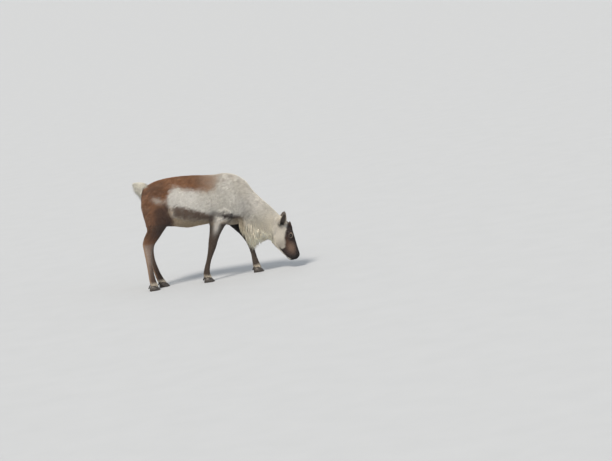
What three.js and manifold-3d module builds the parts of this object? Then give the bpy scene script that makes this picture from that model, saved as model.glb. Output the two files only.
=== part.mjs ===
// A grazing reindeer, life size, in millimetres, +Z up and facing +X, with its right side towards -Y.
// It stands on four flat-soled feet at z = 0, and each body part is its own closed solid.
import * as THREE from "three";
import { mergeVertices } from "three/addons/utils/BufferGeometryUtils.js";
import Module from "manifold-3d";

const wasm = await Module();
wasm.setup();

// Driving dimensions. Heights are above the floor, and lengths run forward from the right hind foot.
const gap = 0.3; // between parts that touch
const footToCentre = 682; // from the right hind foot to the middle of the animal's length
const withersHeight = 1012;
const bellyHeight = 541;
const farHindLead = 86; // how far the left hind foot stands ahead of the right one
const hindCutHeight = 655; // where each hind leg leaves the torso
const foreCutHeight = 565;
const maneLength = 235;
const eyeRadius = 17;
const eyeDepth = 14.5; // from the skin to the eyeball's middle
const eyeOpening = [15, 12]; // half the length and half the height of the lids' ring
const earLength = 138;
const earRoot = [1303, 424]; // places on the head's side, forward and up
const eyePlace = [1379, 322];
const nostrilPlace = [1424, 126];
const antlerBudPlace = [1388, 29, 402]; // forward, sideways and up
const maneAlong = [0.665, 0.935]; // shares of the trunk's length between which the mane grows
const antlerBudHeight = 40;
const far = 3000; // larger than the animal, for cutting blocks

// Columns of a cross-section's row: its front or top point, its back or bottom point, its middle sideways,
// its half-width, how far up from the bottom it is widest, and how square its front and back halves are.
const row = (top, bottom, side, half, widest = 0.5, frontShape = 2, backShape = 2) => [
  ...top,
  ...bottom,
  side,
  half,
  widest,
  frontShape,
  backShape,
];

// Torso and neck, from the rump to the back of the skull.
const trunkForm = {
  rows: [
    row([6, 892], [4, 692], 0, 74),
    row([46, 984], [32, 650], 0, 112),
    row([100, 1014], [92, 612], 0, 138),
    row([190, 1040], [190, 590], 0, 152, 0.5, 2.1),
    row([300, 1050], [300, 568], 0, 166, 0.46, 2.1),
    row([420, 1047], [420, bellyHeight], 0, 180, 0.43, 2.1, 2.1),
    row([540, 1037], [535, bellyHeight + 4], 0, 176, 0.43, 2, 2.1),
    row([650, 1022], [645, 545], 0, 164, 0.44, 1.9, 2),
    row([750, withersHeight + 1], [740, 522], 0, 150, 0.46, 1.8, 1.9),
    row([840, withersHeight], [825, 500], 0, 140, 0.48, 1.75, 1.9),
    row([920, 990], [880, 498], 0, 129, 0.48, 1.8, 1.9),
    row([985, 948], [915, 500], 0, 119, 0.48, 1.9),
    row([1036, 893], [942, 485], 0, 110, 0.48, 1.9),
    row([1072, 828], [976, 452], 0, 103, 0.48, 1.9),
    row([1115, 762], [1012, 418], 0, 98, 0.48, 1.9),
    row([1170, 694], [1056, 382], 0, 91, 0.48, 1.95),
    row([1235, 616], [1110, 347], 0, 84),
    row([1300, 533], [1165, 312], 0, 76),
    row([1345, 470], [1225, 290], 0, 64),
  ],
  caps: [0.035, 0.05],
  // Muscle and bone that stand out under the coat: place, spread and height.
  bumps: [
    { x: 835, z: 800, wide: 90, high: 150, rise: 9 },
    { x: 330, z: 960, wide: 50, high: 40, rise: 8 },
    { x: 140, z: 880, wide: 110, high: 90, rise: 8 },
    { x: 560, z: 700, wide: 180, high: 90, rise: 5 },
  ],
};

// Head, from inside the neck to the lips, hanging nose down.
const headForm = {
  rows: [
    row([1286, 541], [1236, 486], 0, 60, 0.5),
    row([1331, 496], [1216, 434], 0, 68, 0.55, 2.1),
    row([1363, 461], [1198, 386], 0, 72, 0.6, 2.2, 1.9),
    row([1386, 420], [1186, 336], 0, 73, 0.66, 2.4, 1.7),
    row([1402, 373], [1184, 292], 0, 73, 0.7, 2.5, 1.6),
    row([1410, 325], [1199, 246], 0, 70, 0.7, 2.5, 1.55),
    row([1416, 280], [1224, 206], 0, 58, 0.66, 2.4, 1.5),
    row([1422, 235], [1251, 171], 0, 48, 0.6, 2.3, 1.6),
    row([1428, 190], [1278, 137], 0, 44, 0.58, 2.3, 1.75),
    row([1434, 152], [1301, 108], 0, 46, 0.6, 2.4, 1.8),
    row([1437, 118], [1320, 84], 0, 48, 0.6, 2.5, 1.9),
    row([1426, 86], [1342, 66], 0, 40, 0.58, 2.4, 2),
  ],
  caps: [0.06, 0.07],
  bumps: [
    { x: 1374, z: 332, wide: 28, high: 30, rise: 9 },
    { x: 1250, z: 300, wide: 52, high: 56, rise: 9 },
    { x: 1366, z: 268, wide: 26, high: 28, rise: -5 },
    { x: 1322, z: 300, wide: 60, high: 14, rise: 3 },
    { x: 1268, z: 192, wide: 22, high: 26, rise: -4 },
    { x: 1422, z: 124, wide: 24, high: 26, rise: 4 },
  ],
};

// Right hind leg from hip to coronet, and the left one a step ahead of it.
const hindRows = [
  row([330, 900], [62, 930], 85, 54),
  row([330, 800], [12, 842], 94, 62),
  row([308, 705], [12, 735], 98, 64),
  row([248, 630], [20, 652], 98, 57),
  row([186, 566], [19, 580], 94, 46),
  row([128, 500], [-22, 512], 90, 36),
  row([70, 436], [-44, 454], 86, 30),
  row([36, 372], [-42, 384], 84, 25),
  row([20, 275], [-39, 275], 82, 22),
  row([21, 165], [-38, 165], 80, 22),
  row([27, 100], [-38, 92], 80, 26),
  row([38, 54], [-36, 44], 80, 27),
  row([44, 30], [-30, 24], 80, 30),
];
const rightHindForm = { rows: hindRows.map((r) => mirrored(r)), caps: [0.05, 0.03] };
const leftHindForm = { rows: hindRows.map((r) => stepped(r)), caps: [0.05, 0.03] };

// Right foreleg, which stands back under the body.
const rightForeForm = {
  rows: [
    row([905, 760], [720, 800], 78, 48),
    row([880, 650], [662, 700], 92, 50),
    row([815, 560], [638, 600], 98, 46),
    row([760, 505], [624, 540], 97, 40),
    row([712, 440], [606, 458], 94, 34),
    row([676, 375], [586, 388], 91, 29),
    row([651, 320], [571, 320], 89, 30),
    row([619, 265], [555, 264], 88, 24),
    row([585, 200], [534, 206], 87, 20),
    row([564, 140], [509, 148], 86, 20),
    row([554, 92], [490, 92], 86, 25),
    row([562, 55], [487, 45], 86, 27),
    row([568, 30], [494, 22], 86, 30),
  ].map((r) => mirrored(r)),
  caps: [0.05, 0.03],
};

// Left foreleg, which reaches forward beneath the neck.
const leftForeForm = {
  rows: [
    row([950, 790], [790, 800], 76, 46),
    row([945, 690], [752, 690], 90, 49),
    row([935, 600], [752, 575], 95, 45),
    row([916, 534], [800, 498], 95, 39),
    row([934, 482], [850, 438], 93, 34),
    row([962, 428], [893, 385], 91, 29),
    row([990, 360], [926, 330], 89, 30),
    row([1003, 296], [948, 276], 88, 24),
    row([1012, 228], [960, 220], 87, 20),
    row([1020, 160], [968, 160], 86, 20),
    row([1031, 105], [967, 98], 86, 25),
    row([1044, 58], [968, 46], 86, 27),
    row([1050, 32], [974, 24], 86, 30),
  ],
  caps: [0.05, 0.03],
};

// One claw of a hoof, on the foot's own centre, toe forward. Its sole is cut flat at the floor.
const clawForm = {
  rows: [
    row([-42, 26], [-44, -3], 20, 12, 0.3, 2, 3.5),
    row([-30, 41], [-32, -4], 23, 18.5, 0.25, 2, 3.5),
    row([-8, 50], [-8, -4], 25, 22.5, 0.22, 1.9, 3.5),
    row([14, 47], [17, -4], 25.5, 23.5, 0.2, 1.8, 3.5),
    row([33, 33], [39, -4], 24, 20.5, 0.2, 1.8, 3.5),
    row([47, 18], [54, -4], 19.5, 13.5, 0.25, 1.9, 3.5),
    row([56, 8], [61, -3], 15, 6.5, 0.3, 2, 3.5),
  ],
  caps: [0.1, 0.06],
};
const dewclawForm = {
  rows: [
    row([-26, 62], [-38, 54], 20, 8),
    row([-32, 50], [-47, 43], 22, 11),
    row([-37, 38], [-53, 31], 23, 11),
    row([-43, 26], [-54, 22], 23, 6),
  ],
  caps: [0.2, 0.18],
};
const feet = {
  hind_right: { form: rightHindForm, centre: [-4, -80] },
  hind_left: { form: leftHindForm, centre: [-4 + farHindLead, 80] },
  front_right: { form: rightForeForm, centre: [528, -86] },
  front_left: { form: leftForeForm, centre: [1010, 86] },
};

const winterPale = 0xb9b2a4;
const backBrown = 0x7d5a40;
const legBrown = 0x4a3a33;
const faceBrown = 0x5a463b;
const hornBlack = 0x24211f;
const tailWhite = 0xddd6c4;

// The same leg on the animal's right side.
function mirrored(values) {
  const copy = [...values];
  copy[4] = -copy[4];
  return copy;
}

// A left hind leg's row: below the hock, the lower it is the further it has stepped ahead.
function stepped(values) {
  const lead = farHindLead * Math.max(0, 1 - values[1] / 520) ** 1.8;
  const copy = [...values];
  copy[0] += lead;
  copy[2] += lead;
  return copy;
}

const random = (() => {
  let seed = 20417;
  return () => {
    seed = (seed * 16807) % 2147483647;
    return seed / 2147483647;
  };
})();
const vary = (amount) => 1 + amount * (2 * random() - 1);

// The row of a form at a share of its length, on a smooth curve through its rows.
function rowAt(rows, along) {
  const place = THREE.MathUtils.clamp(along, 0, 1) * (rows.length - 1);
  const k = Math.min(Math.floor(place), rows.length - 2);
  const t = place - k;
  const near = [k - 1, k, k + 1, k + 2].map((i) => rows[THREE.MathUtils.clamp(i, 0, rows.length - 1)]);
  return rows[0].map((_, column) => {
    const [a, b, c, d] = near.map((r) => r[column]);
    return b + 0.5 * t * (c - a + t * (2 * a - 5 * b + 4 * c - d + t * (3 * (b - c) + d - a)));
  });
}

// How much of its full size a section has near a form's rounded ends.
function capShare(along, [start, end]) {
  const first = Math.min(1, along / start);
  const last = Math.min(1, (1 - along) / end);
  return Math.sqrt(Math.max(0, 1 - (1 - first) ** 2)) * Math.sqrt(Math.max(0, 1 - (1 - last) ** 2));
}

// A point on a form's surface, at a share of its length and an angle from its front or top.
// A positive extra makes the form larger all round.
function surfacePoint(form, along, around, extra = 0) {
  const [topX, topZ, bottomX, bottomZ, side, half, widest, front, back] = rowAt(form.rows, along);
  const height = Math.hypot(topX - bottomX, topZ - bottomZ);
  const up = [(topX - bottomX) / height, (topZ - bottomZ) / height];
  const cos = Math.cos(around);
  const sin = Math.sin(around);
  const power = 2 / (cos >= 0 ? front : back);
  const reach = (cos >= 0 ? 1 - widest : widest) * height + extra;
  const size = capShare(along, form.caps);
  const rise = Math.sign(cos) * Math.abs(cos) ** power * reach * size;
  let out = Math.sign(sin) * Math.abs(sin) ** power * (half + extra) * size;
  const x = bottomX + (topX - bottomX) * widest + up[0] * rise;
  const z = bottomZ + (topZ - bottomZ) * widest + up[1] * rise;
  for (const b of form.bumps ?? []) {
    const fall = Math.exp(-(((x - b.x) / b.wide) ** 2) - ((z - b.z) / b.high) ** 2);
    out += Math.sign(sin) * Math.min(1, 2 * Math.abs(sin)) * b.rise * fall * size;
  }
  return new THREE.Vector3(x, side + out, z);
}

// A three.js geometry as a solid that can be joined and cut.
function solid(geometry) {
  const bare = geometry.clone();
  bare.deleteAttribute("normal");
  bare.deleteAttribute("uv");
  const merged = mergeVertices(bare, 1e-3);
  const triangles = new Uint32Array(merged.index.array);
  const positions = merged.attributes.position.array;
  const filled = () => {
    const mesh = new wasm.Mesh({ numProp: 3, vertProperties: positions, triVerts: triangles });
    return new wasm.Manifold(mesh);
  };
  let made = filled();
  if (made.volume() < 0) {
    for (let i = 0; i < triangles.length; i += 3) {
      [triangles[i + 1], triangles[i + 2]] = [triangles[i + 2], triangles[i + 1]];
    }
    made = filled();
  }
  return made;
}

// A ball whose points are moved by a function of the share of its length and the angle round it.
function movedBall(sides, rings, place) {
  const ball = new THREE.SphereGeometry(1, sides, rings);
  const position = ball.getAttribute("position");
  const uv = ball.getAttribute("uv");
  for (let i = 0; i < position.count; i++) {
    const p = place(1 - uv.getY(i), 2 * Math.PI * uv.getX(i));
    position.setXYZ(i, p.x, p.y, p.z);
  }
  return ball;
}

function body(form, sides, rings, extra = 0) {
  return solid(movedBall(sides, rings, (along, around) => surfacePoint(form, along, around, extra)));
}

// A large block on the far side of a plane through a point, for cutting everything there away.
function beyond(point, normal, shift = 0) {
  const block = new THREE.BoxGeometry(far, far, far);
  const direction = new THREE.Vector3(...normal).normalize();
  const turn = new THREE.Quaternion().setFromUnitVectors(new THREE.Vector3(0, 0, 1), direction);
  const centre = new THREE.Vector3(...point).addScaledVector(direction, far / 2 + shift);
  block.applyMatrix4(new THREE.Matrix4().compose(centre, turn, new THREE.Vector3(1, 1, 1)));
  return solid(block);
}

const joined = (pieces) => pieces.reduce((whole, piece) => whole.add(piece));
const largest = (made) => made.decompose().reduce((a, b) => (b.volume() > a.volume() ? b : a));

// A flat, tapered lock of hair: its root is sunk in, and it bends from its first direction towards its last.
function lock(root, first, last, length, width, thickness, flatTo) {
  const spine = (t) =>
    root
      .clone()
      .addScaledVector(first, length * (t - 0.5 * t * t))
      .addScaledVector(last, length * 0.5 * t * t);
  return solid(
    movedBall(4, 5, (along, around) => {
      const tangent = spine(along + 0.01).sub(spine(along - 0.01)).normalize();
      const across = new THREE.Vector3().crossVectors(tangent, flatTo).normalize();
      const outward = new THREE.Vector3().crossVectors(across, tangent);
      const taper = along <= 0 || along >= 1 ? 0 : Math.min(1, 0.75 + along) * (1 - along ** 2.2) ** 0.8;
      return spine(along)
        .addScaledVector(across, width * 0.5 * taper * Math.cos(around))
        .addScaledVector(outward, thickness * 0.5 * taper * Math.sin(around));
    }),
  );
}

// Where a form's surface has a given place seen from the side, or the point at a depth under it.
function sideAt(form, x, z, rightSide, depth = 0) {
  let best = { miss: Infinity };
  for (let along = 0.02; along < 0.99; along += 0.01) {
    for (let degrees = 4; degrees < 178; degrees += 3) {
      const around = (rightSide ? -1 : 1) * THREE.MathUtils.degToRad(degrees);
      const p = surfacePoint(form, along, around);
      const miss = Math.hypot(p.x - x, p.z - z);
      if (miss < best.miss) {
        best = { miss, p, inside: surfacePoint(form, along, around, -10) };
      }
    }
  }
  const inward = best.inside.clone().sub(best.p).normalize();
  return best.p.addScaledVector(inward, depth);
}

// The neck's cut from the torso and the head's cut from the neck, each a plane seen from the side.
const neckCut = { point: [952, 0, 720], normal: [0.977, 0, -0.213] };
const headCut = { point: [1250, 0, 405], normal: [0.843, 0, -0.539] };

const trunk = body(trunkForm, 26, 40);
const trunkGrown = body(trunkForm, 26, 40, gap + 0.1);
const headWhole = body(headForm, 20, 24);
const headGrown = body(headForm, 20, 24, gap + 0.1);

// Each leg's part above its cut height belongs to the torso.
function upperPart(form, cutHeight) {
  return body(form, 12, 23).subtract(beyond([0, 0, cutHeight], [0, 0, -1]));
}

function makeTorso() {
  const muscles = [
    upperPart(rightHindForm, hindCutHeight),
    upperPart(leftHindForm, hindCutHeight),
    upperPart(rightForeForm, foreCutHeight),
    upperPart(leftForeForm, foreCutHeight),
  ];
  return largest(joined([trunk, ...muscles]).subtract(beyond(neckCut.point, neckCut.normal)));
}

// The long hair that hangs from the underside and lower sides of the neck, longest behind its middle.
function maneLocks() {
  const locks = [];
  const rows = 9;
  const columns = [-0.72, -0.36, 0, 0.36, 0.72];
  for (let i = 0; i < rows; i++) {
    const share = i / (rows - 1);
    for (const column of columns) {
      const along = maneAlong[0] + (maneAlong[1] - maneAlong[0]) * (share + 0.05 * (random() - 0.5));
      const around = Math.PI + column * vary(0.12);
      const skin = surfacePoint(trunkForm, along, around);
      const inside = surfacePoint(trunkForm, along, around, -14);
      const outward = skin.clone().sub(inside).normalize();
      const fullness = 0.3 + 0.7 * Math.exp(-(((share - 0.32) / 0.34) ** 2));
      const length = maneLength * fullness * (1 - 0.3 * Math.abs(column)) * vary(0.1);
      const first = outward.clone().add(new THREE.Vector3(-0.5, 0, -1)).normalize();
      const last = new THREE.Vector3(0.02 * vary(1), -0.25 * column, -1).normalize();
      // The left foreleg reaches forward beside the mane's back, where it leaves no room for outer locks.
      if (column > -0.5 || skin.x > 990) {
        locks.push(lock(inside, first, last, length + 14, 54 * vary(0.15), 13, outward));
      }
    }
  }
  return locks;
}

function makeNeck() {
  const base = trunk
    .subtract(beyond(neckCut.point, neckCut.normal.map((n) => -n), -gap))
    .subtract(beyond(headCut.point, headCut.normal));
  const legRoom = body(leftForeForm, 12, 23, gap + 1).subtract(beyond([0, 0, 700], [0, 0, 1]));
  return largest(joined([base, ...maneLocks()]).subtract(legRoom));
}

// The middle of an eyeball, which sits in a socket behind its lids.
function eyeCentre(rightSide) {
  return sideAt(headForm, ...eyePlace, rightSide, eyeDepth);
}

function ballAt(centre, radius, segments = 12) {
  const ball = new THREE.SphereGeometry(radius, segments, Math.round(segments * 0.7));
  ball.translate(centre.x, centre.y, centre.z);
  return solid(ball);
}

// The direction an eye looks in, the way its opening runs, and the way across the opening.
function eyeAxes(rightSide) {
  const outward = new THREE.Vector3(0.3, rightSide ? -1 : 1, -0.2).normalize();
  const long = new THREE.Vector3(-0.3, 0, 0.95);
  long.addScaledVector(outward, -long.dot(outward)).normalize();
  return { outward, long, short: new THREE.Vector3().crossVectors(outward, long) };
}

// Both lids as one almond-shaped rim round the part of the eyeball that shows.
function lids(rightSide) {
  const ring = new THREE.TorusGeometry(1, 0.34, 6, 14);
  const position = ring.getAttribute("position");
  const centre = eyeCentre(rightSide);
  const { outward, long, short } = eyeAxes(rightSide);
  for (let i = 0; i < position.count; i++) {
    const around = Math.atan2(position.getY(i), position.getX(i));
    const reach = Math.hypot(position.getX(i), position.getY(i));
    const almond = 1 - 0.15 * Math.cos(around);
    const p = centre.clone().addScaledVector(outward, position.getZ(i) * 9);
    p.y += (rightSide ? -1 : 1) * eyeRadius * 0.74;
    p.addScaledVector(long, eyeOpening[0] * reach * Math.cos(around));
    p.addScaledVector(short, eyeOpening[1] * reach * almond * Math.sin(around));
    position.setXYZ(i, p.x, p.y, p.z);
  }
  return solid(ring);
}

// A rounded roll of flesh along a line, thickest in its middle.
function roll(points, radius, sides = 7, rings = 8) {
  const line = new THREE.CatmullRomCurve3(points);
  return solid(
    movedBall(sides, rings, (along, around) => {
      const tangent = line.getTangent(along);
      const across = new THREE.Vector3(-tangent.z, 0, tangent.x).normalize();
      const out = new THREE.Vector3().crossVectors(across, tangent);
      const size = along <= 0 || along >= 1 ? 0 : radius * Math.sin(Math.PI * along) ** 0.7;
      return line
        .getPoint(along)
        .addScaledVector(across, size * Math.cos(around))
        .addScaledVector(out, size * Math.sin(around));
    }),
  );
}

// The mouth's line on one side, from its corner to the front of the muzzle.
const mouthLine = [
  [1264, 186],
  [1283, 152],
  [1307, 120],
  [1337, 98],
  [1370, 85],
  [1402, 79],
];

// The upper and lower lips, as rolls beside the mouth's line.
function lips(rightSide) {
  return joined(
    [9, -8].map((shift) =>
      roll(
        mouthLine.map(([x, z]) => sideAt(headForm, x + shift * 0.55, z + shift * 0.8, rightSide, 9.5)),
        shift > 0 ? 13 : 12,
      ),
    ),
  );
}

// A groove that follows the mouth's line and is no deeper than its depth.
function mouthGroove() {
  const points = [...mouthLine, [1460, 68]].map(([x, z]) => new THREE.Vector2(x, -z));
  const line = new THREE.SplineCurve(points).getPoints(9);
  const thickness = 4;
  const edge = (shift) => line.map((p) => new THREE.Vector2(p.x, p.y + shift));
  const shape = new THREE.Shape([...edge(thickness / 2), ...edge(-thickness / 2).reverse()]);
  const strip = new THREE.ExtrudeGeometry(shape, { depth: 160, bevelEnabled: false });
  strip.translate(0, 0, -80);
  strip.rotateX(-Math.PI / 2);
  return solid(strip).subtract(body(headForm, 16, 22, -6));
}

// A nostril's rim, and the pit inside it.
function nostrilParts(rightSide) {
  const side = rightSide ? -1 : 1;
  const oval = (wide, deep, high, out) => {
    const ball = new THREE.SphereGeometry(1, 9, 7);
    ball.scale(wide, deep, high);
    ball.rotateX(side * 0.3);
    ball.rotateZ(side * -0.75);
    ball.rotateY(-0.35);
    const place = sideAt(headForm, ...nostrilPlace, rightSide, -out);
    ball.translate(place.x, place.y, place.z);
    return solid(ball);
  };
  return { rim: oval(14, 9, 21, -4), pit: oval(6, 12, 13, 3) };
}

function makeHead() {
  const towardsNeck = headCut.normal.map((n) => -n);
  const throat = body(trunkForm, 16, 26, -1).subtract(beyond([1180, 0, 400], towardsNeck));
  let head = headWhole.add(throat).subtract(beyond(headCut.point, towardsNeck, -gap));
  for (const rightSide of [true, false]) {
    const { rim, pit } = nostrilParts(rightSide);
    head = joined([head, lids(rightSide), lips(rightSide), rim])
      .subtract(ballAt(eyeCentre(rightSide), eyeRadius + gap))
      .subtract(pit);
  }
  return largest(head.subtract(mouthGroove()));
}

// A cupped leaf, its length along +Z and its opening towards +X before it is turned into place.
function makeEar(rightSide) {
  const drawnLength = 126; // of the leaf below, from the ear's root
  const scale = earLength / drawnLength;
  const scaled = (rows) => rows.map((r) => r.map((value, column) => (column < 6 ? value * scale : value)));
  const leaf = {
    rows: scaled([
      row([14, -24], [-14, -24], 0, 15),
      row([17, 2], [-16, 0], 0, 21),
      row([19, 32], [-17, 28], 0, 30),
      row([17, 64], [-15, 62], 0, 31.5),
      row([11, 94], [-10, 94], 0, 25),
      row([3, 124], [-5, 126], 0, 11),
    ]),
    caps: [0.06, 0.08],
  };
  const hollow = {
    rows: scaled([
      row([30, 4], [2, 6], 0, 11),
      row([36, 32], [-10, 34], 0, 24),
      row([34, 64], [-9, 66], 0, 26),
      row([26, 94], [-3, 96], 0, 19),
      row([18, 114], [3, 117], 0, 8),
    ]),
    caps: [0.2, 0.1],
  };
  const side = rightSide ? -1 : 1;
  const facing = new THREE.Vector3(0.28, side * 0.96, 0);
  const length = new THREE.Vector3(0.36, side * 0.42, 0.83).normalize();
  const across = new THREE.Vector3().crossVectors(length, facing).normalize();
  const front = new THREE.Vector3().crossVectors(across, length);
  const turn = new THREE.Matrix4().makeBasis(front, across, length);
  const root = sideAt(headForm, ...earRoot, rightSide);
  turn.setPosition(root.x, root.y, root.z);
  const placed = (form, sides, rings) => {
    const geometry = movedBall(sides, rings, (along, around) => surfacePoint(form, along, around));
    return solid(geometry.applyMatrix4(turn));
  };
  const cup = placed(leaf, 12, 9).subtract(placed(hollow, 10, 8));
  return largest(cup.subtract(headGrown).subtract(trunkGrown));
}

// A short velvet-covered stub where the shed antler stood.
function makeAntlerBud(rightSide) {
  const side = rightSide ? -1 : 1;
  const bud = {
    rows: [
      row([14, -26], [-14, -26], 0, 14),
      row([13, -4], [-13, -4], 0, 12.5),
      row([10.5, antlerBudHeight * 0.5], [-10.5, antlerBudHeight * 0.5], 0, 10),
      row([10.5, antlerBudHeight], [-10.5, antlerBudHeight], 0, 10),
    ],
    caps: [0.1, 0.2],
  };
  const geometry = movedBall(10, 7, (along, around) => surfacePoint(bud, along, around));
  geometry.rotateX(side * -0.3);
  geometry.rotateY(-0.08);
  geometry.translate(antlerBudPlace[0], side * antlerBudPlace[1], antlerBudPlace[2]);
  return largest(solid(geometry).subtract(headGrown));
}

function makeEye(rightSide) {
  return ballAt(eyeCentre(rightSide), eyeRadius);
}

// A raised tail: a short core with white locks that fan back and down from it.
const tailForm = {
  rows: [
    row([96, 1022], [62, 975], 0, 24),
    row([62, 1042], [34, 986], 0, 27),
    row([28, 1056], [10, 1002], 0, 25),
    row([-6, 1062], [-12, 1022], 0, 18),
    row([-30, 1060], [-30, 1040], 0, 9),
  ],
  caps: [0.08, 0.12],
};

function makeTail() {
  const locks = [];
  const rings = 4;
  const columns = 6;
  for (let i = 0; i < rings; i++) {
    const along = 0.3 + (0.62 * i) / (rings - 1);
    for (let j = 0; j < columns; j++) {
      const turn = (2 * j) / (columns - 1) - 1;
      const around = Math.PI + 2.2 * turn * vary(0.06);
      const skin = surfacePoint(tailForm, along, around);
      const inside = surfacePoint(tailForm, along, around, -8);
      const outward = skin.clone().sub(inside).normalize();
      const under = 1 - Math.abs(turn);
      const near = 1 - along;
      const first = outward.clone().add(new THREE.Vector3(-0.8, 0, 0.1)).normalize();
      const hang = under * near;
      const last = new THREE.Vector3(-1 + 1.2 * hang, 0.3 * turn, -0.3 - 2 * hang).normalize();
      const length = (46 + 105 * hang) * vary(0.12);
      locks.push(lock(inside, first, last, length, 32 * vary(0.15), 10, outward));
    }
  }
  return largest(joined([body(tailForm, 12, 9), ...locks]).subtract(trunkGrown));
}

const floorBlock = beyond([0, 0, 0], [0, 0, -1]);

function placedOnFoot(form, foot, side, sides, rings, extra = 0) {
  const geometry = movedBall(sides, rings, (along, around) => {
    const p = surfacePoint(form, along, around, extra);
    return new THREE.Vector3(p.x + foot.centre[0], side * p.y + foot.centre[1], p.z);
  });
  return solid(geometry);
}

// The two claws and two dewclaws of one foot, with what has to be cut from the leg to make room for them.
function footPieces(foot) {
  const pieces = {};
  const room = [];
  for (const [name, side] of [
    ["outer", Math.sign(foot.centre[1])],
    ["inner", -Math.sign(foot.centre[1])],
  ]) {
    pieces["claw_" + name] = placedOnFoot(clawForm, foot, side, 10, 8).subtract(floorBlock);
    pieces["dewclaw_" + name] = placedOnFoot(dewclawForm, foot, side, 6, 6);
    room.push(placedOnFoot(clawForm, foot, side, 10, 8, gap + 0.1));
    room.push(placedOnFoot(dewclawForm, foot, side, 6, 6, gap + 0.1));
  }
  return { pieces, room: joined(room) };
}

// Knee and hock heights, where each leg is divided.
const jointHeight = { hind_right: 452, hind_left: 452, front_right: 318, front_left: 345 };

const reindeer = new THREE.Group();

function addNode(name, made, colour, roughness = 0.9) {
  const mesh = made.getMesh();
  const geometry = new THREE.BufferGeometry();
  const positions = new Float32Array(mesh.numVert * 3);
  for (let i = 0; i < mesh.numVert; i++) {
    positions.set(mesh.vertProperties.subarray(i * mesh.numProp, i * mesh.numProp + 3), i * 3);
  }
  geometry.setAttribute("position", new THREE.BufferAttribute(positions, 3));
  geometry.setIndex(new THREE.BufferAttribute(mesh.triVerts, 1));
  geometry.computeVertexNormals();
  const material = new THREE.MeshStandardMaterial({ color: colour, roughness, metalness: 0 });
  const node = new THREE.Mesh(geometry, material);
  node.name = name;
  reindeer.add(node);
}

addNode("torso", makeTorso(), backBrown);
addNode("neck", makeNeck(), winterPale);
addNode("head", makeHead(), faceBrown);
addNode("tail", makeTail(), tailWhite);
for (const rightSide of [true, false]) {
  const side = rightSide ? "right" : "left";
  addNode("ear_" + side, makeEar(rightSide), winterPale);
  addNode("eye_" + side, makeEye(rightSide), hornBlack, 0.1);
  addNode("antler_bud_" + side, makeAntlerBud(rightSide), legBrown);
}
for (const [name, foot] of Object.entries(feet)) {
  const isHind = name.startsWith("hind");
  const { pieces, room } = footPieces(foot);
  const whole = largest(
    body(foot.form, 12, 23)
      .subtract(beyond([0, 0, (isHind ? hindCutHeight : foreCutHeight) - gap], [0, 0, 1]))
      .subtract(trunkGrown)
      .subtract(room),
  );
  const split = [0, 0, jointHeight[name]];
  addNode("leg_" + name + "_upper", largest(whole.subtract(beyond(split, [0, 0, -1]))), legBrown);
  addNode("leg_" + name + "_lower", largest(whole.subtract(beyond(split, [0, 0, 1], -gap))), legBrown);
  for (const [piece, made] of Object.entries(pieces)) {
    addNode(piece + "_" + name, made, hornBlack, 0.5);
  }
}
reindeer.position.x = -footToCentre;

export default reindeer;
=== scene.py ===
import math

import bmesh
import bpy
import numpy as np
from mathutils import Matrix, Vector
from mathutils.bvhtree import BVHTree


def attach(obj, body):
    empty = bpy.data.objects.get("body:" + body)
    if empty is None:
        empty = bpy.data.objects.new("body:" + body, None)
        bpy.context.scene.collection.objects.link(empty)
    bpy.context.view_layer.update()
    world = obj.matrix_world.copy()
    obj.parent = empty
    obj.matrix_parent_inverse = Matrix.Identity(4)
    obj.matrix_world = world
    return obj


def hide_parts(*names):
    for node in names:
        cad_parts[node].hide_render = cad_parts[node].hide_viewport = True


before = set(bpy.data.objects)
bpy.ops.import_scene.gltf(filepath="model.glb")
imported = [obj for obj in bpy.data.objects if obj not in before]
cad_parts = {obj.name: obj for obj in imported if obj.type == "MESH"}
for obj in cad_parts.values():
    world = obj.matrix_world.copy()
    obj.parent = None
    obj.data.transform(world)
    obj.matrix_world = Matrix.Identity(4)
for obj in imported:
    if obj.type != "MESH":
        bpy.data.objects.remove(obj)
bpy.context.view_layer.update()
draw = np.random.default_rng(20417)

animal = {
    "lengthCentre": 682,  # from the right hind foot to the middle of the animal
    "hindLead": 86,  # how far the left hind foot stands ahead of the right one
    "stepHeight": 520,  # below this its leg has moved ahead
}


def toFrame(points):
    moved = np.array(points, dtype=float)
    moved[..., 0] -= animal["lengthCentre"]
    return moved / 1000


def toForm(points):
    moved = np.array(points, dtype=float) * 1000
    moved[..., 0] += animal["lengthCentre"]
    return moved


def linear(hexColour):
    values = np.array([int(hexColour[i : i + 2], 16) for i in (1, 3, 5)]) / 255
    return np.where(values <= 0.04045, values / 12.92, ((values + 0.055) / 1.055) ** 2.4)


def unit(vectors):
    return vectors / np.maximum(np.linalg.norm(vectors, axis=-1, keepdims=True), 1e-9)


def step(low, high, value):
    t = np.clip((value - low) / (high - low), 0, 1)
    return t * t * (3 - 2 * t)


# Smooth noise between -1 and 1 with bumps of a given size, from values drawn on a lattice.
def noise(points, size, seed):
    table = np.random.default_rng(seed).uniform(-1, 1, (32, 32, 32))
    place = np.asarray(points) / size
    cell = np.floor(place).astype(int)
    t = place - cell
    t = t * t * (3 - 2 * t)
    total = np.zeros(len(place))
    for corner in np.ndindex(2, 2, 2):
        share = np.prod(np.where(corner, t, 1 - t), axis=1)
        i = (cell + corner) % 32
        total += share * table[i[:, 0], i[:, 1], i[:, 2]]
    return total


cameraSettings = {
    "millimetresPerPixel": 9.66,
    "imageSize": (612, 461),
    "aim": (1530, 0, 335),  # what the middle of the picture looks at
    "elevation": 7,
    "roll": 9,  # the picture's ground rises to the right
    "lens": 135,
    "sensor": 36,
    "reach": 9000,  # metres, so that the floor runs to the horizon
}


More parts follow.
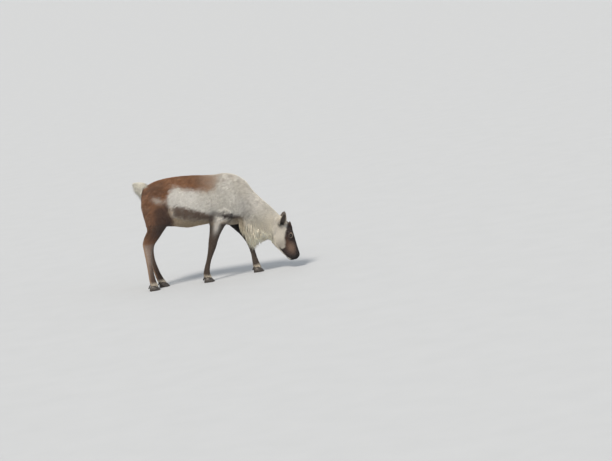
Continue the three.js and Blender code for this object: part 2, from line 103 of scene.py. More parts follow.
def makeCamera(s):
    data = bpy.data.cameras.new("camera")
    data.lens = s["lens"]
    data.sensor_width = s["sensor"]
    data.clip_end = s["reach"]
    camera = bpy.data.objects.new("camera", data)
    bpy.context.scene.collection.objects.link(camera)
    up = math.radians(s["elevation"])
    roll = math.radians(s["roll"])
    back = Vector((0, -math.cos(up), math.sin(up)))
    plainUp = Vector((0, math.sin(up), math.cos(up)))
    right = Vector((1, 0, 0)) * math.cos(roll) - plainUp * math.sin(roll)
    width = s["imageSize"][0] * s["millimetresPerPixel"] / 1000
    camera.location = Vector(toFrame(s["aim"])) + back * (width * s["lens"] / s["sensor"])
    turned = np.array([right, back.cross(right), back]).T
    camera.rotation_mode = "QUATERNION"
    camera.rotation_quaternion = Matrix(turned.tolist()).to_quaternion()
    bpy.context.scene.camera = camera


lightSettings = {
    "world": ("#f3f5f7", 0.75),
    "key": {"from": (-0.42, -0.72, 1.1), "strength": 3.3, "angle": 16, "colour": "#fff4e6"},
    "fill": {"from": (0.9, -0.5, 0.5), "strength": 0.5, "angle": 60, "colour": "#e6efff"},
}


# A large soft key lamp high on the left and a weak fill on the right, in a pale room.
def makeLights(s):
    world = bpy.data.worlds.new("paleStudio")
    world.use_nodes = True
    background = world.node_tree.nodes["Background"]
    background.inputs["Color"].default_value = (*linear(s["world"][0]), 1)
    background.inputs["Strength"].default_value = s["world"][1]
    bpy.context.scene.world = world
    bpy.context.scene.view_settings.view_transform = "Standard"
    for name in ("key", "fill"):
        data = bpy.data.lights.new(name, "SUN")
        data.energy = s[name]["strength"]
        data.angle = math.radians(s[name]["angle"])
        data.color = linear(s[name]["colour"])
        light = bpy.data.objects.new(name, data)
        light.rotation_euler = Vector(s[name]["from"]).to_track_quat("Z", "Y").to_euler()
        bpy.context.scene.collection.objects.link(light)


def addNode(material, kind, links=None, **settings):
    node = material.node_tree.nodes.new(kind)
    for name, value in settings.items():
        name = name if name in node.inputs.keys() else name.replace("_", " ")
        if name in node.inputs.keys():
            node.inputs[name].default_value = value
        else:
            setattr(node, name.replace(" ", "_"), value)
    for name, source in (links or {}).items():
        material.node_tree.links.new(source, node.inputs[name])
    return node


def newMaterial(name, **settings):
    material = bpy.data.materials.new(name)
    material.use_nodes = True
    shader = material.node_tree.nodes["Principled BSDF"]
    for socket, value in settings.items():
        shader.inputs[socket.replace("_", " ")].default_value = value
    return material, shader


def join(material, source, shader, socket):
    material.node_tree.links.new(source, shader.inputs[socket])


# Strands drawn out along the hair shade the coat's painted colour and give it a fine relief.
def strandedCoat(material, shader, place, s):
    drawn = addNode(material, "ShaderNodeMapping", {"Vector": place}, Scale=s["stretch"])
    along = {"Vector": drawn.outputs["Vector"]}
    strands = addNode(material, "ShaderNodeTexNoise", along, Scale=1, Detail=s["detail"]).outputs["Fac"]
    coat = addNode(material, "ShaderNodeAttribute", attribute_name="coatColour")
    span = {"From_Min": 0.3, "From_Max": 0.7, "To_Min": s["shades"][0], "To_Max": s["shades"][1]}
    shade = addNode(material, "ShaderNodeMapRange", {"Value": strands}, **span)
    scaled = {"Vector": coat.outputs["Color"], "Scale": shade.outputs["Result"]}
    mixed = addNode(material, "ShaderNodeVectorMath", scaled, operation="SCALE")
    join(material, mixed.outputs["Vector"], shader, "Base Color")
    relief = {"Strength": s["relief"], "Distance": s["height"]}
    bump = addNode(material, "ShaderNodeBump", {"Height": strands}, **relief)
    join(material, bump.outputs["Normal"], shader, "Normal")


# A base colour that runs between two colours by a mottled pattern.
def mottledColour(material, shader, place, s):
    pattern = {"Scale": s["scale"], "Detail": s["detail"]}
    mottle = addNode(material, "ShaderNodeTexNoise", {"Vector": place}, **pattern)
    colour = addNode(material, "ShaderNodeValToRGB", {"Fac": mottle.outputs["Fac"]})
    for element, position, hexColour in zip(colour.color_ramp.elements, s["places"], s["colours"]):
        element.position = position
        element.color = (*linear(hexColour), 1)
    join(material, colour.outputs["Color"], shader, "Base Color")


# Reindeer hair is hollow and matt, so it scatters light softly. A body tuft shows hairs about 0.4 mm apart.
def hairMaterial():
    finish = {"Roughness": 0.75, "IOR": 1.55, "Sheen_Weight": 0.12, "Specular_IOR_Level": 0.22}
    material, shader = newMaterial("hollowReindeerHair", **finish)
    patch = addNode(material, "ShaderNodeUVMap", uv_map="OFBake").outputs["UV"]
    strands = {"stretch": (3200, 260, 1), "detail": 2, "shades": (0.84, 1.14)}
    strandedCoat(material, shader, patch, strands | {"relief": 0.5, "height": 0.0005})
    return material


# Short flat fur and the underfur between locks: dense and woolly, with hair ends about 2 mm apart.
def underfurMaterial():
    finish = {"Roughness": 0.88, "IOR": 1.5, "Sheen_Weight": 0.1, "Specular_IOR_Level": 0.2}
    material, shader = newMaterial("woollyUnderfur", **finish)
    place = addNode(material, "ShaderNodeTexCoord").outputs["Object"]
    wool = {"stretch": (420, 420, 130), "detail": 4, "shades": (0.78, 1.06)}
    strandedCoat(material, shader, place, wool | {"relief": 0.7, "height": 0.002})
    return material


# A deer's eye: a clear wet cornea over a near-black brown iris, mottled about 2 mm apart.
def eyeMaterial():
    material, shader = newMaterial("wetCornea", Roughness=0.05, IOR=1.376)
    place = addNode(material, "ShaderNodeTexCoord").outputs["Object"]
    iris = {"scale": 420, "detail": 2, "places": (0, 1), "colours": ("#0b0706", "#1a0f0a")}
    mottledColour(material, shader, place, iris)
    return material


# Hoof horn grows in rings about 6 mm apart, and wear leaves it dull, with paler grey scuffs.
def hornMaterial():
    material, shader = newMaterial("wornBlackHoofHorn", Roughness=0.48, IOR=1.54)
    place = addNode(material, "ShaderNodeTexCoord").outputs["Object"]
    bands = {"bands_direction": "Z", "Scale": 52, "Distortion": 1.2, "Detail": 2}
    rings = addNode(material, "ShaderNodeTexWave", {"Vector": place}, **bands)
    scuffs = {"scale": 90, "detail": 4, "places": (0.35, 0.75), "colours": ("#151210", "#4a423b")}
    mottledColour(material, shader, place, scuffs)
    height = {"Height": rings.outputs["Fac"]}
    bump = addNode(material, "ShaderNodeBump", height, Strength=0.35, Distance=0.001)
    join(material, bump.outputs["Normal"], shader, "Normal")
    return material


# A painted studio floor, matt and pale, with the faint mottling that a roller leaves.
def floorMaterial():
    material, shader = newMaterial("palePaintedFloor", Roughness=0.85, IOR=1.5)
    place = addNode(material, "ShaderNodeTexCoord").outputs["Object"]
    mottle = {"scale": 3, "detail": 3, "places": (0, 1), "colours": ("#abafb3", "#b1b5b9")}
    mottledColour(material, shader, place, mottle)
    return material


# A cross-section: front or top point, back or bottom point, its middle sideways, half-width, how far up it
# is widest, and how square its front and back halves are.
def row(top, bottom, side, half, widest=0.5, frontShape=2.0, backShape=2.0):
    return [*top, *bottom, side, half, widest, frontShape, backShape]


# Each form has its sections, the shares of its length over which its ends round off, how deep the skin lies
# under the coat's tips, and places that stand out: where, how wide and high, and by how much.
# The trunk runs from the rump to inside the head.
trunkForm = {
    "rows": [
        row((6, 892), (4, 692), 0, 74),
        row((46, 984), (32, 650), 0, 112),
        row((100, 1014), (92, 612), 0, 138),
        row((190, 1040), (190, 590), 0, 152, 0.5, 2.1),
        row((300, 1050), (300, 568), 0, 166, 0.46, 2.1),
        row((420, 1047), (420, 541), 0, 180, 0.43, 2.1, 2.1),
        row((540, 1037), (535, 545), 0, 176, 0.43, 2, 2.1),
        row((650, 1022), (645, 545), 0, 164, 0.44, 1.9, 2),
        row((750, 1013), (740, 522), 0, 150, 0.46, 1.8, 1.9),
        row((840, 1012), (825, 500), 0, 140, 0.48, 1.75, 1.9),
        row((920, 990), (880, 498), 0, 129, 0.48, 1.8, 1.9),
        row((985, 948), (915, 500), 0, 119, 0.48, 1.9),
        row((1036, 893), (942, 485), 0, 110, 0.48, 1.9),
        row((1072, 828), (976, 452), 0, 103, 0.48, 1.9),
        row((1115, 762), (1012, 418), 0, 98, 0.48, 1.9),
        row((1170, 694), (1056, 382), 0, 91, 0.48, 1.95),
        row((1235, 616), (1110, 347), 0, 84),
        row((1300, 533), (1165, 312), 0, 76),
        row((1345, 470), (1225, 290), 0, 64),
    ],
    "caps": (0.035, 0.05),
    "bumps": [
        (835, 800, 90, 150, 9),
        (330, 960, 50, 40, 8),
        (140, 880, 110, 90, 8),
        (560, 700, 180, 90, 5),
    ],
    "depth": 7,
}

# The head hangs nose down, from inside the neck to the lips.
headForm = {
    "rows": [
        row((1286, 541), (1236, 486), 0, 60, 0.5),
        row((1331, 496), (1216, 434), 0, 68, 0.55, 2.1),
        row((1363, 461), (1198, 386), 0, 72, 0.6, 2.2, 1.9),
        row((1386, 420), (1186, 336), 0, 73, 0.66, 2.4, 1.7),
        row((1402, 373), (1184, 292), 0, 73, 0.7, 2.5, 1.6),
        row((1410, 325), (1199, 246), 0, 70, 0.7, 2.5, 1.55),
        row((1416, 280), (1224, 206), 0, 58, 0.66, 2.4, 1.5),
        row((1422, 235), (1251, 171), 0, 48, 0.6, 2.3, 1.6),
        row((1428, 190), (1278, 137), 0, 44, 0.58, 2.3, 1.75),
        row((1434, 152), (1301, 108), 0, 46, 0.6, 2.4, 1.8),
        row((1437, 118), (1320, 84), 0, 48, 0.6, 2.5, 1.9),
        row((1426, 86), (1342, 66), 0, 40, 0.58, 2.4, 2),
    ],
    "caps": (0.06, 0.07),
    "bumps": [
        (1374, 332, 28, 30, 9),
        (1250, 300, 52, 56, 9),
        (1366, 268, 26, 28, -5),
        (1322, 300, 60, 14, 3),
        (1268, 192, 22, 26, -4),
        (1422, 124, 24, 26, 4),
    ],
    "depth": 2.5,
}

hindRows = [
    row((330, 900), (62, 930), 85, 54),
    row((330, 800), (12, 842), 94, 62),
    row((308, 705), (12, 735), 98, 64),
    row((248, 630), (20, 652), 98, 57),
    row((186, 566), (19, 580), 94, 46),
    row((128, 500), (-22, 512), 90, 36),
    row((70, 436), (-44, 454), 86, 30),
    row((36, 372), (-42, 384), 84, 25),
    row((20, 275), (-39, 275), 82, 22),
    row((21, 165), (-38, 165), 80, 22),
    row((27, 100), (-38, 92), 80, 26),
    row((38, 54), (-36, 44), 80, 27),
    row((44, 30), (-30, 24), 80, 30),
]
rightForeRows = [
    row((905, 760), (720, 800), 78, 48),
    row((880, 650), (662, 700), 92, 50),
    row((815, 560), (638, 600), 98, 46),
    row((760, 505), (624, 540), 97, 40),
    row((712, 440), (606, 458), 94, 34),
    row((676, 375), (586, 388), 91, 29),
    row((651, 320), (571, 320), 89, 30),
    row((619, 265), (555, 264), 88, 24),
    row((585, 200), (534, 206), 87, 20),
    row((564, 140), (509, 148), 86, 20),
    row((554, 92), (490, 92), 86, 25),
    row((562, 55), (487, 45), 86, 27),
    row((568, 30), (494, 22), 86, 30),
]
leftForeRows = [
    row((950, 790), (790, 800), 76, 46),
    row((945, 690), (752, 690), 90, 49),
    row((935, 600), (752, 575), 95, 45),
    row((916, 534), (800, 498), 95, 39),
    row((934, 482), (850, 438), 93, 34),
    row((962, 428), (893, 385), 91, 29),
    row((990, 360), (926, 330), 89, 30),
    row((1003, 296), (948, 276), 88, 24),
    row((1012, 228), (960, 220), 87, 20),
    row((1020, 160), (968, 160), 86, 20),
    row((1031, 105), (967, 98), 86, 25),
    row((1044, 58), (968, 46), 86, 27),
    row((1050, 32), (974, 24), 86, 30),
]


# The same leg on the animal's right side.
def mirrored(rows):
    return [[*r[:4], -r[4], *r[5:]] for r in rows]


# A hind leg a step ahead: below the hock, the lower a section is the further it has moved.
def stepped(rows):
    moved = []
    for r in rows:
        lead = animal["hindLead"] * max(0, 1 - r[1] / animal["stepHeight"]) ** 1.8
        moved.append([r[0] + lead, r[1], r[2] + lead, *r[3:]])
    return moved


def legForm(rows, centre, top):
    return {"rows": rows, "caps": (0.05, 0.03), "depth": 0.5, "centre": centre, "top": top}


# Each leg, its foot's middle, and the height where its own hair ends.
legForms = {
    "hind_right": legForm(mirrored(hindRows), (-4, -80), 640),
    "hind_left": legForm(stepped(hindRows), (82, 80), 640),
    "front_right": legForm(mirrored(rightForeRows), (528, -86), 560),
    "front_left": legForm(leftForeRows, (1010, 86), 520),
}
tailForm = {
    "rows": [
        row((96, 1022), (62, 975), 0, 24),
        row((62, 1042), (34, 986), 0, 27),
        row((28, 1056), (10, 1002), 0, 25),
        row((-6, 1062), (-12, 1022), 0, 18),
        row((-30, 1060), (-30, 1040), 0, 9),
    ],
    "caps": (0.08, 0.12),
    "depth": 8,
}


# Rows of numbers at shares of their length, on a smooth curve through them.
def rowsAt(rows, along):
    table = np.array(rows, dtype=float)
    place = np.clip(along, 0, 1) * (len(table) - 1)
    k = np.minimum(np.floor(place).astype(int), len(table) - 2)
    t = (place - k)[:, None]
    a, b, c, d = (table[np.clip(k + i, 0, len(table) - 1)] for i in (-1, 0, 1, 2))
    return b + 0.5 * t * (c - a + t * (2 * a - 5 * b + 4 * c - d + t * (3 * (b - c) + d - a)))


# Points on a form at shares of its length and angles from its front or top, a depth under its coat's tips.
def formPoints(form, along, around, extra=0.0):
    r = rowsAt(form["rows"], along)
    top, bottom = r[:, 0:2], r[:, 2:4]
    side, half, widest, front, back = r[:, 4:].T
    height = np.linalg.norm(top - bottom, axis=1)
    up = (top - bottom) / height[:, None]
    cos, sin = np.cos(around), np.sin(around)
    power = 2 / np.where(cos >= 0, front, back)
    reach = np.where(cos >= 0, 1 - widest, widest) * height + extra
    first = np.minimum(1, along / form["caps"][0])
    last = np.minimum(1, (1 - along) / form["caps"][1])
    size = np.sqrt(np.maximum(0, 1 - (1 - first) ** 2)) * np.sqrt(np.maximum(0, 1 - (1 - last) ** 2))
    rise = np.sign(cos) * np.abs(cos) ** power * reach * size
    out = np.sign(sin) * np.abs(sin) ** power * (half + extra) * size
    middle = bottom + (top - bottom) * widest[:, None] + up * rise[:, None]
    for x, z, wide, high, lift in form.get("bumps", []):
        fall = np.exp(-(((middle[:, 0] - x) / wide) ** 2) - ((middle[:, 1] - z) / high) ** 2)
        out = out + np.sign(sin) * np.minimum(1, 2 * np.abs(sin)) * lift * fall * size
    return np.stack([middle[:, 0], side + out, middle[:, 1]], axis=1)


def linkMesh(mesh):
    piece = bpy.data.objects.new(mesh.name, mesh)
    bpy.context.scene.collection.objects.link(piece)
    return piece


def smoothMesh(bm, name):
    bmesh.ops.recalc_face_normals(bm, faces=bm.faces)
    mesh = bpy.data.meshes.new(name)
    bm.to_mesh(mesh)
    bm.free()
    mesh.polygons.foreach_set("use_smooth", np.ones(len(mesh.polygons), dtype=bool))
    return mesh


def finishPiece(piece, material, nodes):
    piece.data.materials.clear()
    piece.data.materials.append(material)
    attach(piece, "root")
    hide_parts(*nodes)


# A ball whose points move to a place for a share of its length and an angle round it.
def addBall(bm, sides, rings, place):
    made = bmesh.ops.create_uvsphere(bm, u_segments=sides, v_segments=rings, radius=1)["verts"]
    ball = np.array([v.co for v in made])
    along = np.arccos(np.clip(-ball[:, 2], -1, 1)) / math.pi
    around = np.arctan2(ball[:, 1], ball[:, 0])
    for v, p in zip(made, toFrame(place(along, around))):
        v.co = p


# A place on a form seen from the side, and the way out of the form there.
def surfaceAt(form, x, z, right):
    along, degrees = np.meshgrid(np.arange(0.02, 0.99, 0.005), np.arange(4, 178, 1.5))
    along, around = along.ravel(), (-1 if right else 1) * np.radians(degrees.ravel())
    points = formPoints(form, along, around)
    best = np.argmin(np.hypot(points[:, 0] - x, points[:, 2] - z))
    inside = formPoints(form, along[best : best + 1], around[best : best + 1], -10)[0]
    return points[best], unit(points[best] - inside)


# A smooth line on the head's side through places seen from the side, as many close points.
def headLine(places, right):
    corners = np.array([surfaceAt(headForm, x, z, right)[0] for x, z in places])
    shares = np.linspace(0, 1, 24 * (len(corners) - 1))
    return rowsAt(corners, shares)


def distanceTo(points, line):
    return np.min(np.linalg.norm(points[:, None] - line[None], axis=2), axis=1)


earShape = {
    "root": (1303, 424),  # seen from the side
    # Height up the ear, how far its middle stands forward, its depth and half its width.
    "rows": [
        (-22, 5, 4, 4),
        (-8, 4, 9, 9),
        (8, 2.5, 15, 19),
        (35, 1.5, 21, 33),
        (70, 1, 19, 34),
        (102, 0.5, 12.5, 27),
        (124, -0.5, 7, 15),
        (134, -1, 3, 5),
    ],
    "facing": (0.28, 0.96, 0),  # the way a left ear's cup opens
    "upwards": (0.36, 0.42, 0.83),  # the way from a left ear's root to its tip
    "wrap": 118,  # degrees that each side wraps round from the ear's back
    "thickness": 4,
}


# An ear's directions to its front, across it and along it, and its root on the head.
def earBasis(right):
    side = [1, -1 if right else 1, 1]
    length = unit(np.array(earShape["upwards"]) * side)
    across = unit(np.cross(length, np.array(earShape["facing"]) * side))
    return np.cross(across, length), across, length, surfaceAt(headForm, *earShape["root"], right)[0]


# The ear's leaf as a cup: its back is one wall, and its front is pressed in to follow that wall.
def earPlace(right):
    front, across, length, root = earBasis(right)

    def place(along, around):
        up, middle, depth, half = rowsAt(earShape["rows"], 1 - (1 - along) ** 1.1).T
        end = np.sqrt(np.clip(1 - ((along - 0.5) / 0.5) ** 8, 0, 1))
        turn = np.abs(around)
        side = np.sign(around)
        wall = np.minimum(earShape["thickness"], 0.4 * depth)
        isFront = turn < math.pi / 2
        sweep = np.where(isFront, turn, math.pi - turn) / (math.pi / 2) * math.radians(earShape["wrap"])
        opened = step(0.14, 0.34, along) * isFront
        thin = np.where(isFront, wall, 0) * np.clip(1 - sweep / math.radians(earShape["wrap"]) * 0.6, 0, 1)
        cupX = -(depth - thin) * np.cos(sweep)
        cupY = (half - thin) * np.sin(sweep)
        shutX, shutY = depth * np.cos(turn), half * np.sin(turn)
        x = np.where(isFront, shutX * (1 - opened) + cupX * opened, cupX)
        y = np.where(isFront, shutY * (1 - opened) + cupY * opened, cupY)
        local = [(middle + x * end)[:, None], (side * y * end)[:, None], up[:, None]]
        return root + local[0] * front + local[1] * across + local[2] * length

    return place


# Creases and swellings follow lines on the face, which are seen from the side.
faceLines = {
    "mouth": [(1266, 190), (1284, 153), (1308, 121), (1338, 99), (1371, 86), (1402, 80)],
    "nostril": [(1429, 140), (1424, 130), (1423, 117)],
    "nostrilFold": [(1426, 152), (1408, 142), (1402, 124)],
    "brow": [(1352, 350), (1372, 353), (1392, 343)],
    "tearFold": [(1388, 300), (1398, 282), (1405, 264)],
    "jaw": [(1236, 300), (1262, 236), (1290, 190)],
}
# The line of each, how far from it the shape lies, and the shape's spread and rise.
faceShapes = [
    ("mouth", 0, 2.4, -4.5),
    ("mouth", 8, 5.5, 2.6),
    ("nostril", 0, 4.6, -11),
    ("nostril", 9.5, 4.5, 2.8),
    ("nostrilFold", 0, 3.2, -1.6),
    ("brow", 0, 9, 3.2),
    ("tearFold", 0, 5, -2.2),
    ("jaw", 0, 12, 2.5),
]


# Swellings round the eye's middle, the antler bud and the ear's root: how far away, spread and rise.
faceMounds = {"eye": (22, 8, 3.5), "bud": (0, 19, 8), "ear": (0, 27, 7)}


def swelling(gap, away, wide, amount):
    return amount * np.exp(-(((gap - away) / wide) ** 2))


# The sculpted face: every point moves out or in by its distance to the face's lines and swellings.
def faceRise(p):
    rise = np.zeros(len(p))
    for right in (True, False):
        mine = (p[:, 1] < 0) == right
        gaps = {name: distanceTo(p[mine], headLine(line, right)) for name, line in faceLines.items()}
        for name, *shape in faceShapes:
            rise[mine] += swelling(gaps[name], *shape)
        centre, outward = eyeCentre(right)
        gap = np.linalg.norm(np.cross(p[mine] - centre, outward), axis=1)
        rise[mine] += swelling(gap, *faceMounds["eye"])
        bud = np.array(budForm["place"]) * [1, -1 if right else 1, 1]
        gap = np.linalg.norm((p[mine] - bud)[:, :2], axis=1)
        crown = step(345, 375, p[mine, 2]) * step(450, 415, p[mine, 2])
        rise[mine] += swelling(gap, *faceMounds["bud"]) * crown
        gap = np.linalg.norm(p[mine] - surfaceAt(headForm, *earShape["root"], right)[0], axis=1)
        rise[mine] += swelling(gap, *faceMounds["ear"])
    return rise


# How deep points lie in the nostrils or in the line of the mouth, from none at 0 to well inside at 1.
def creases(p):
    depth = np.zeros(len(p))
    low = np.flatnonzero(isHead(p) & (p[:, 2] < 215))
    for name, wide in (("nostril", 5.5), ("mouth", 2.2)):
        for right in (True, False):
            mine = low[(p[low, 1] < 0) == right]
            gap = distanceTo(p[mine], headLine(faceLines[name], right)[::4])
            depth[mine] = np.maximum(depth[mine], swelling(gap, 0, wide, 1))
    return depth


skinSettings = {
    "voxel": 7.6,
    "smoothings": 4,
    "faceSplits": [440, 215],  # below each of these heights the head's faces are split once more
    "faceBack": 1215,  # only ahead of this
    "eyeReach": 45,  # and this far round each eye
    # Points round each form and along it before they are fused.
    "facets": {"trunk": (96, 120), "head": (72, 80), "tail": (24, 24), "leg": (32, 80)},
}
fleshNodes = ["torso", "neck", "head", "ear_right", "ear_left", "tail"] + [
    "leg_%s_%s" % (name, part) for name in legForms for part in ("upper", "lower")
]


def meshPoints(mesh):
    places = np.empty(len(mesh.vertices) * 3)
    mesh.vertices.foreach_get("co", places)
    return places.reshape(-1, 3)


def meshNormals(mesh):
    normals = np.empty(len(mesh.vertices) * 3)
    mesh.vertex_normals.foreach_get("vector", normals)
    return normals.reshape(-1, 3)


# The forms of the flesh fused into one mesh.
def fusedForms(s):
    bm = bmesh.new()
    flesh = [(trunkForm, "trunk"), (headForm, "head"), (tailForm, "tail")]
    for form, kind in flesh + [(leg, "leg") for leg in legForms.values()]:
        sides, rings = s["facets"][kind]
        addBall(bm, sides, rings, lambda along, around: formPoints(form, along, around, -form["depth"]))
    mesh = smoothMesh(bm, "forms")
    forms = linkMesh(mesh)
    remesh = forms.modifiers.new("oneSkin", "REMESH")
    remesh.mode = "VOXEL"
    remesh.voxel_size = s["voxel"] / 1000
    whole = bpy.data.meshes.new_from_object(forms.evaluated_get(bpy.context.evaluated_depsgraph_get()))
    bpy.data.objects.remove(forms)
    bpy.data.meshes.remove(mesh)
    bm = bmesh.new()
    bm.from_mesh(whole)
    bpy.data.meshes.remove(whole)
    return bm


# All of the flesh as one skin: it is smoothed, split finer on the head, and the face is sculpted.
def makeSkin(s):
    bm = fusedForms(s)
    for _ in range(s["smoothings"]):
        axes = {"use_axis_x": True, "use_axis_y": True, "use_axis_z": True}
        bmesh.ops.smooth_vert(bm, verts=bm.verts, factor=0.5, **axes)
    for height in s["faceSplits"]:
        middles = toForm([f.calc_center_median() for f in bm.faces])
        toEyes = [np.linalg.norm(middles - eyeCentre(right)[0], axis=1) for right in (True, False)]
        face = (middles[:, 2] < height) & (middles[:, 0] > s["faceBack"])
        chosen = isHead(middles) & (face | (np.min(toEyes, axis=0) < s["eyeReach"]))
        edges = {e for f, use in zip(bm.faces, chosen) if use for e in f.edges}
        bmesh.ops.subdivide_edges(bm, edges=list(edges), cuts=1, use_grid_fill=True)
    bm.normal_update()
    points = toForm([v.co for v in bm.verts])
    normals = np.array([v.normal for v in bm.verts])
    face = np.flatnonzero(isHead(points))
    rise = faceRise(points[face])
    bm.verts.ensure_lookup_table()
    for index, amount in zip(face, rise):
        bm.verts[index].co += Vector(normals[index] * amount / 1000)
    for right in (True, False):
        addBall(bm, 56, 60, earPlace(right))
    return linkMesh(smoothMesh(bm, "skin"))


coat = {
    "palest": "#edebe5",
    "pale": "#d3d0c7",
    "greyStreak": "#948d84",
    "back": "#8b5d3c",
    "backDeep": "#5d3f2b",
    "backGrey": "#a3907c",
    "rump": "#906244",
    "thighDark": "#4a342a",
    "legDark": "#443730",
    "legRear": "#ab8b70",
    "flankBand": "#655040",
    "belly": "#bba88c",
    "mane": "#efe4ca",
    "face": "#2b201e",
    "noseSide": "#766153",
    "muzzle": "#150e0d",
    "eyeRing": "#bda993",
    "ear": "#6b625a",
    "earRim": "#c2bbae",
    "cream": "#dcc7ac",
    # Painted highlights on the back's combed hair.
    "backLight": "#a87b58",
    # Painted shade deep in the nostrils and the mouth's line.
    "wet": "#0e0a09",
    "white": "#e3e0d4",
    "hoofHair": "#d3c8b6",
    "lidEdge": "#17110f",
    "velvet": "#33261f",
    "velvetTip": "#8d7f70",
    "velvetDown": "#4a3a30",
}
# Edges and lines of the coat's markings, and the line of a painted shadow, as heights along the body.
# The mask's edge and the nose's ridge are places along the body by height.
coatLines = {
    "backEdge": [(-100, 700), (60, 760), (200, 815), (259, 850), (293, 927), (356, 951), (487, 916)]
    + [(646, 868), (715, 874), (776, 948), (814, 1001), (840, 1040), (1500, 1300)],
    "bandTop": [(230, 765), (288, 768), (319, 778), (404, 760), (514, 714), (596, 673), (658, 634)]
    + [(720, 600)],
    "bandLow": [(230, 690), (275, 672), (350, 655), (450, 628), (560, 602), (640, 580), (720, 560)],
    "shoulderShadow": [(663, 655), (797, 607), (885, 569), (950, 552)],
    "maneTop": [(900, 600), (950, 578), (1010, 548), (1080, 485), (1190, 400)],
    "lips": [(1240, 214), (1266, 186), (1284, 153), (1308, 121), (1338, 99), (1371, 86)],
    "mask": [(175, 1190), (192, 1252), (200, 1284), (212, 1305), (240, 1313), (300, 1314), (343, 1322)]
    + [(380, 1344), (417, 1358), (470, 1362)],
    "noseRidge": [(90, 1388), (160, 1402), (204, 1410), (267, 1411), (330, 1410)],
}
# Soft round marks: their place seen from the side, and their spread along and up.
coatSpots = {
    "flankEdge": (276, 728, 17, 34),
    "groin": (300, 612, 50, 30),
    "spine": (566, 1040, 46, 26),
    "chest": (890, 522, 70, 14),
    # A painted shade under the cheek, by the jaw.
    "jaw": (1268, 236, 44, 46),
    "behindEar": (1287, 438, 17, 27),
    "noseSide": (1366, 200, 40, 52),
    "cheek": (1332, 262, 24, 50),
}


def lineAt(name, value):
    points = np.array(coatLines[name])
    return np.interp(value, points[:, 0], points[:, 1])


def spot(p, name):
    x, z, wide, high = coatSpots[name]
    return np.exp(-(((p[:, 0] - x) / wide) ** 2) - ((p[:, 2] - z) / high) ** 2)


# How far points lie from a leg's back edge and from its front edge, and whether they belong to the leg.
def legPlace(p, leg):
    rows = np.array(leg["rows"])
    x, y, z = p.T
    byFront, byBack = rows[np.argsort(rows[:, 1])], rows[np.argsort(rows[:, 3])]
    front = np.interp(z, byFront[:, 1], byFront[:, 0])
    back = np.interp(z, byBack[:, 3], byBack[:, 2])
    side = np.interp(z, byBack[:, 3], byBack[:, 4])
    half = np.interp(z, byBack[:, 3], byBack[:, 5])
    inside = (x < front + 14) & (x > back - 14) & (np.abs(y - side) < half + 12) & (z < leg["top"])
    return x - back, front - x, inside


def isLeg(p):
    return np.any([legPlace(p, leg)[2] for leg in legForms.values()], axis=0)


# How far points lie ahead of the line where the neck's long hair gives way to the head's short hair.
def headGap(p):
    return np.minimum(p[:, 0] - 1195, (p[:, 0] - 1190 - (p[:, 2] - 400) * 1.1) * 0.67)


def isHead(p):
    return headGap(p) > 0


# The coat's colour at places in the frame, with edges as ragged as hair makes them, and with painted
# shadows and highlights.
def bodyColour(points):
    p = toForm(points)
    x, y, z = p.T
    ragged = 9 * noise(p, 60, 1) + 9 * noise(p * np.array([0.4, 1, 1]), 12, 2)
    broad = noise(p, 120, 3)
    streak = noise(p * np.array([1, 1, 0.16]), 8, 4)
    blotch = noise(p, 28, 5)
    made = np.repeat(linear(coat["pale"])[None], len(p), axis=0)

    def over(name, share):
        made[:] += (linear(coat[name]) - made) * np.clip(share, 0, 1)[:, None]

    over("palest", 0.45 + 0.5 * broad + 0.25 * blotch)
    flank = step(235, 300, x) * step(640, 480, x)
    over("palest", flank * 0.7)
    shoulder = step(480, 640, x) * step(1180, 1010, x)
    over("greyStreak", shoulder * step(0.05, 0.6, streak + 0.3 * broad) * 0.55)
    over("greyStreak", step(880, 1000, x) * 0.16)
    over("greyStreak", step(0.3, 0.9, blotch + 0.5 * streak) * 0.25)
    bodyBelly(p, over, ragged, streak)
    bodyBack(p, over, ragged, broad, streak, blotch)
    # A pale smear slants over the hip.
    along, across = (x - 172) * 0.9 - (z - 852) * 0.43, (x - 172) * 0.43 + (z - 852) * 0.9
    over("pale", np.exp(-((along / 56) ** 2) - (across / 21) ** 2) * (0.74 + 0.26 * blotch))
    over("cream", spot(p, "flankEdge"))
    bodyChest(p, over, ragged, streak)
    bodyLegs(p, over, ragged)
    bodyHead(p, over, ragged, streak)
    over("white", step(96, 74, x - 0.5 * (z - 1000)) * step(960, 985, z) * step(50, 38, np.abs(y)))
    return np.clip(made, 0, 1)


# The buff belly and the dark band above it.
def bodyBelly(p, over, ragged, streak):
    x, _, z = p.T
    low = step(-16, 16, lineAt("bandLow", x) - z - 0.7 * ragged)
    over("belly", low * step(800, 700, x) * step(200, 260, x))
    over("cream", spot(p, "groin") * step(250, 275, x) * 0.7)
    over("flankBand", low * step(0.2, -0.7, streak) * step(545, 640, x) * step(800, 700, x) * 0.5)
    band = step(-11, 11, lineAt("bandTop", x) - z + 0.5 * ragged)
    band *= step(-18, 18, z - lineAt("bandLow", x) + ragged)
    band *= step(288, 312, x + 0.4 * ragged) * step(735, 640, x)
    over("flankBand", band * (0.96 - 0.22 * step(0.2, 0.9, streak)))
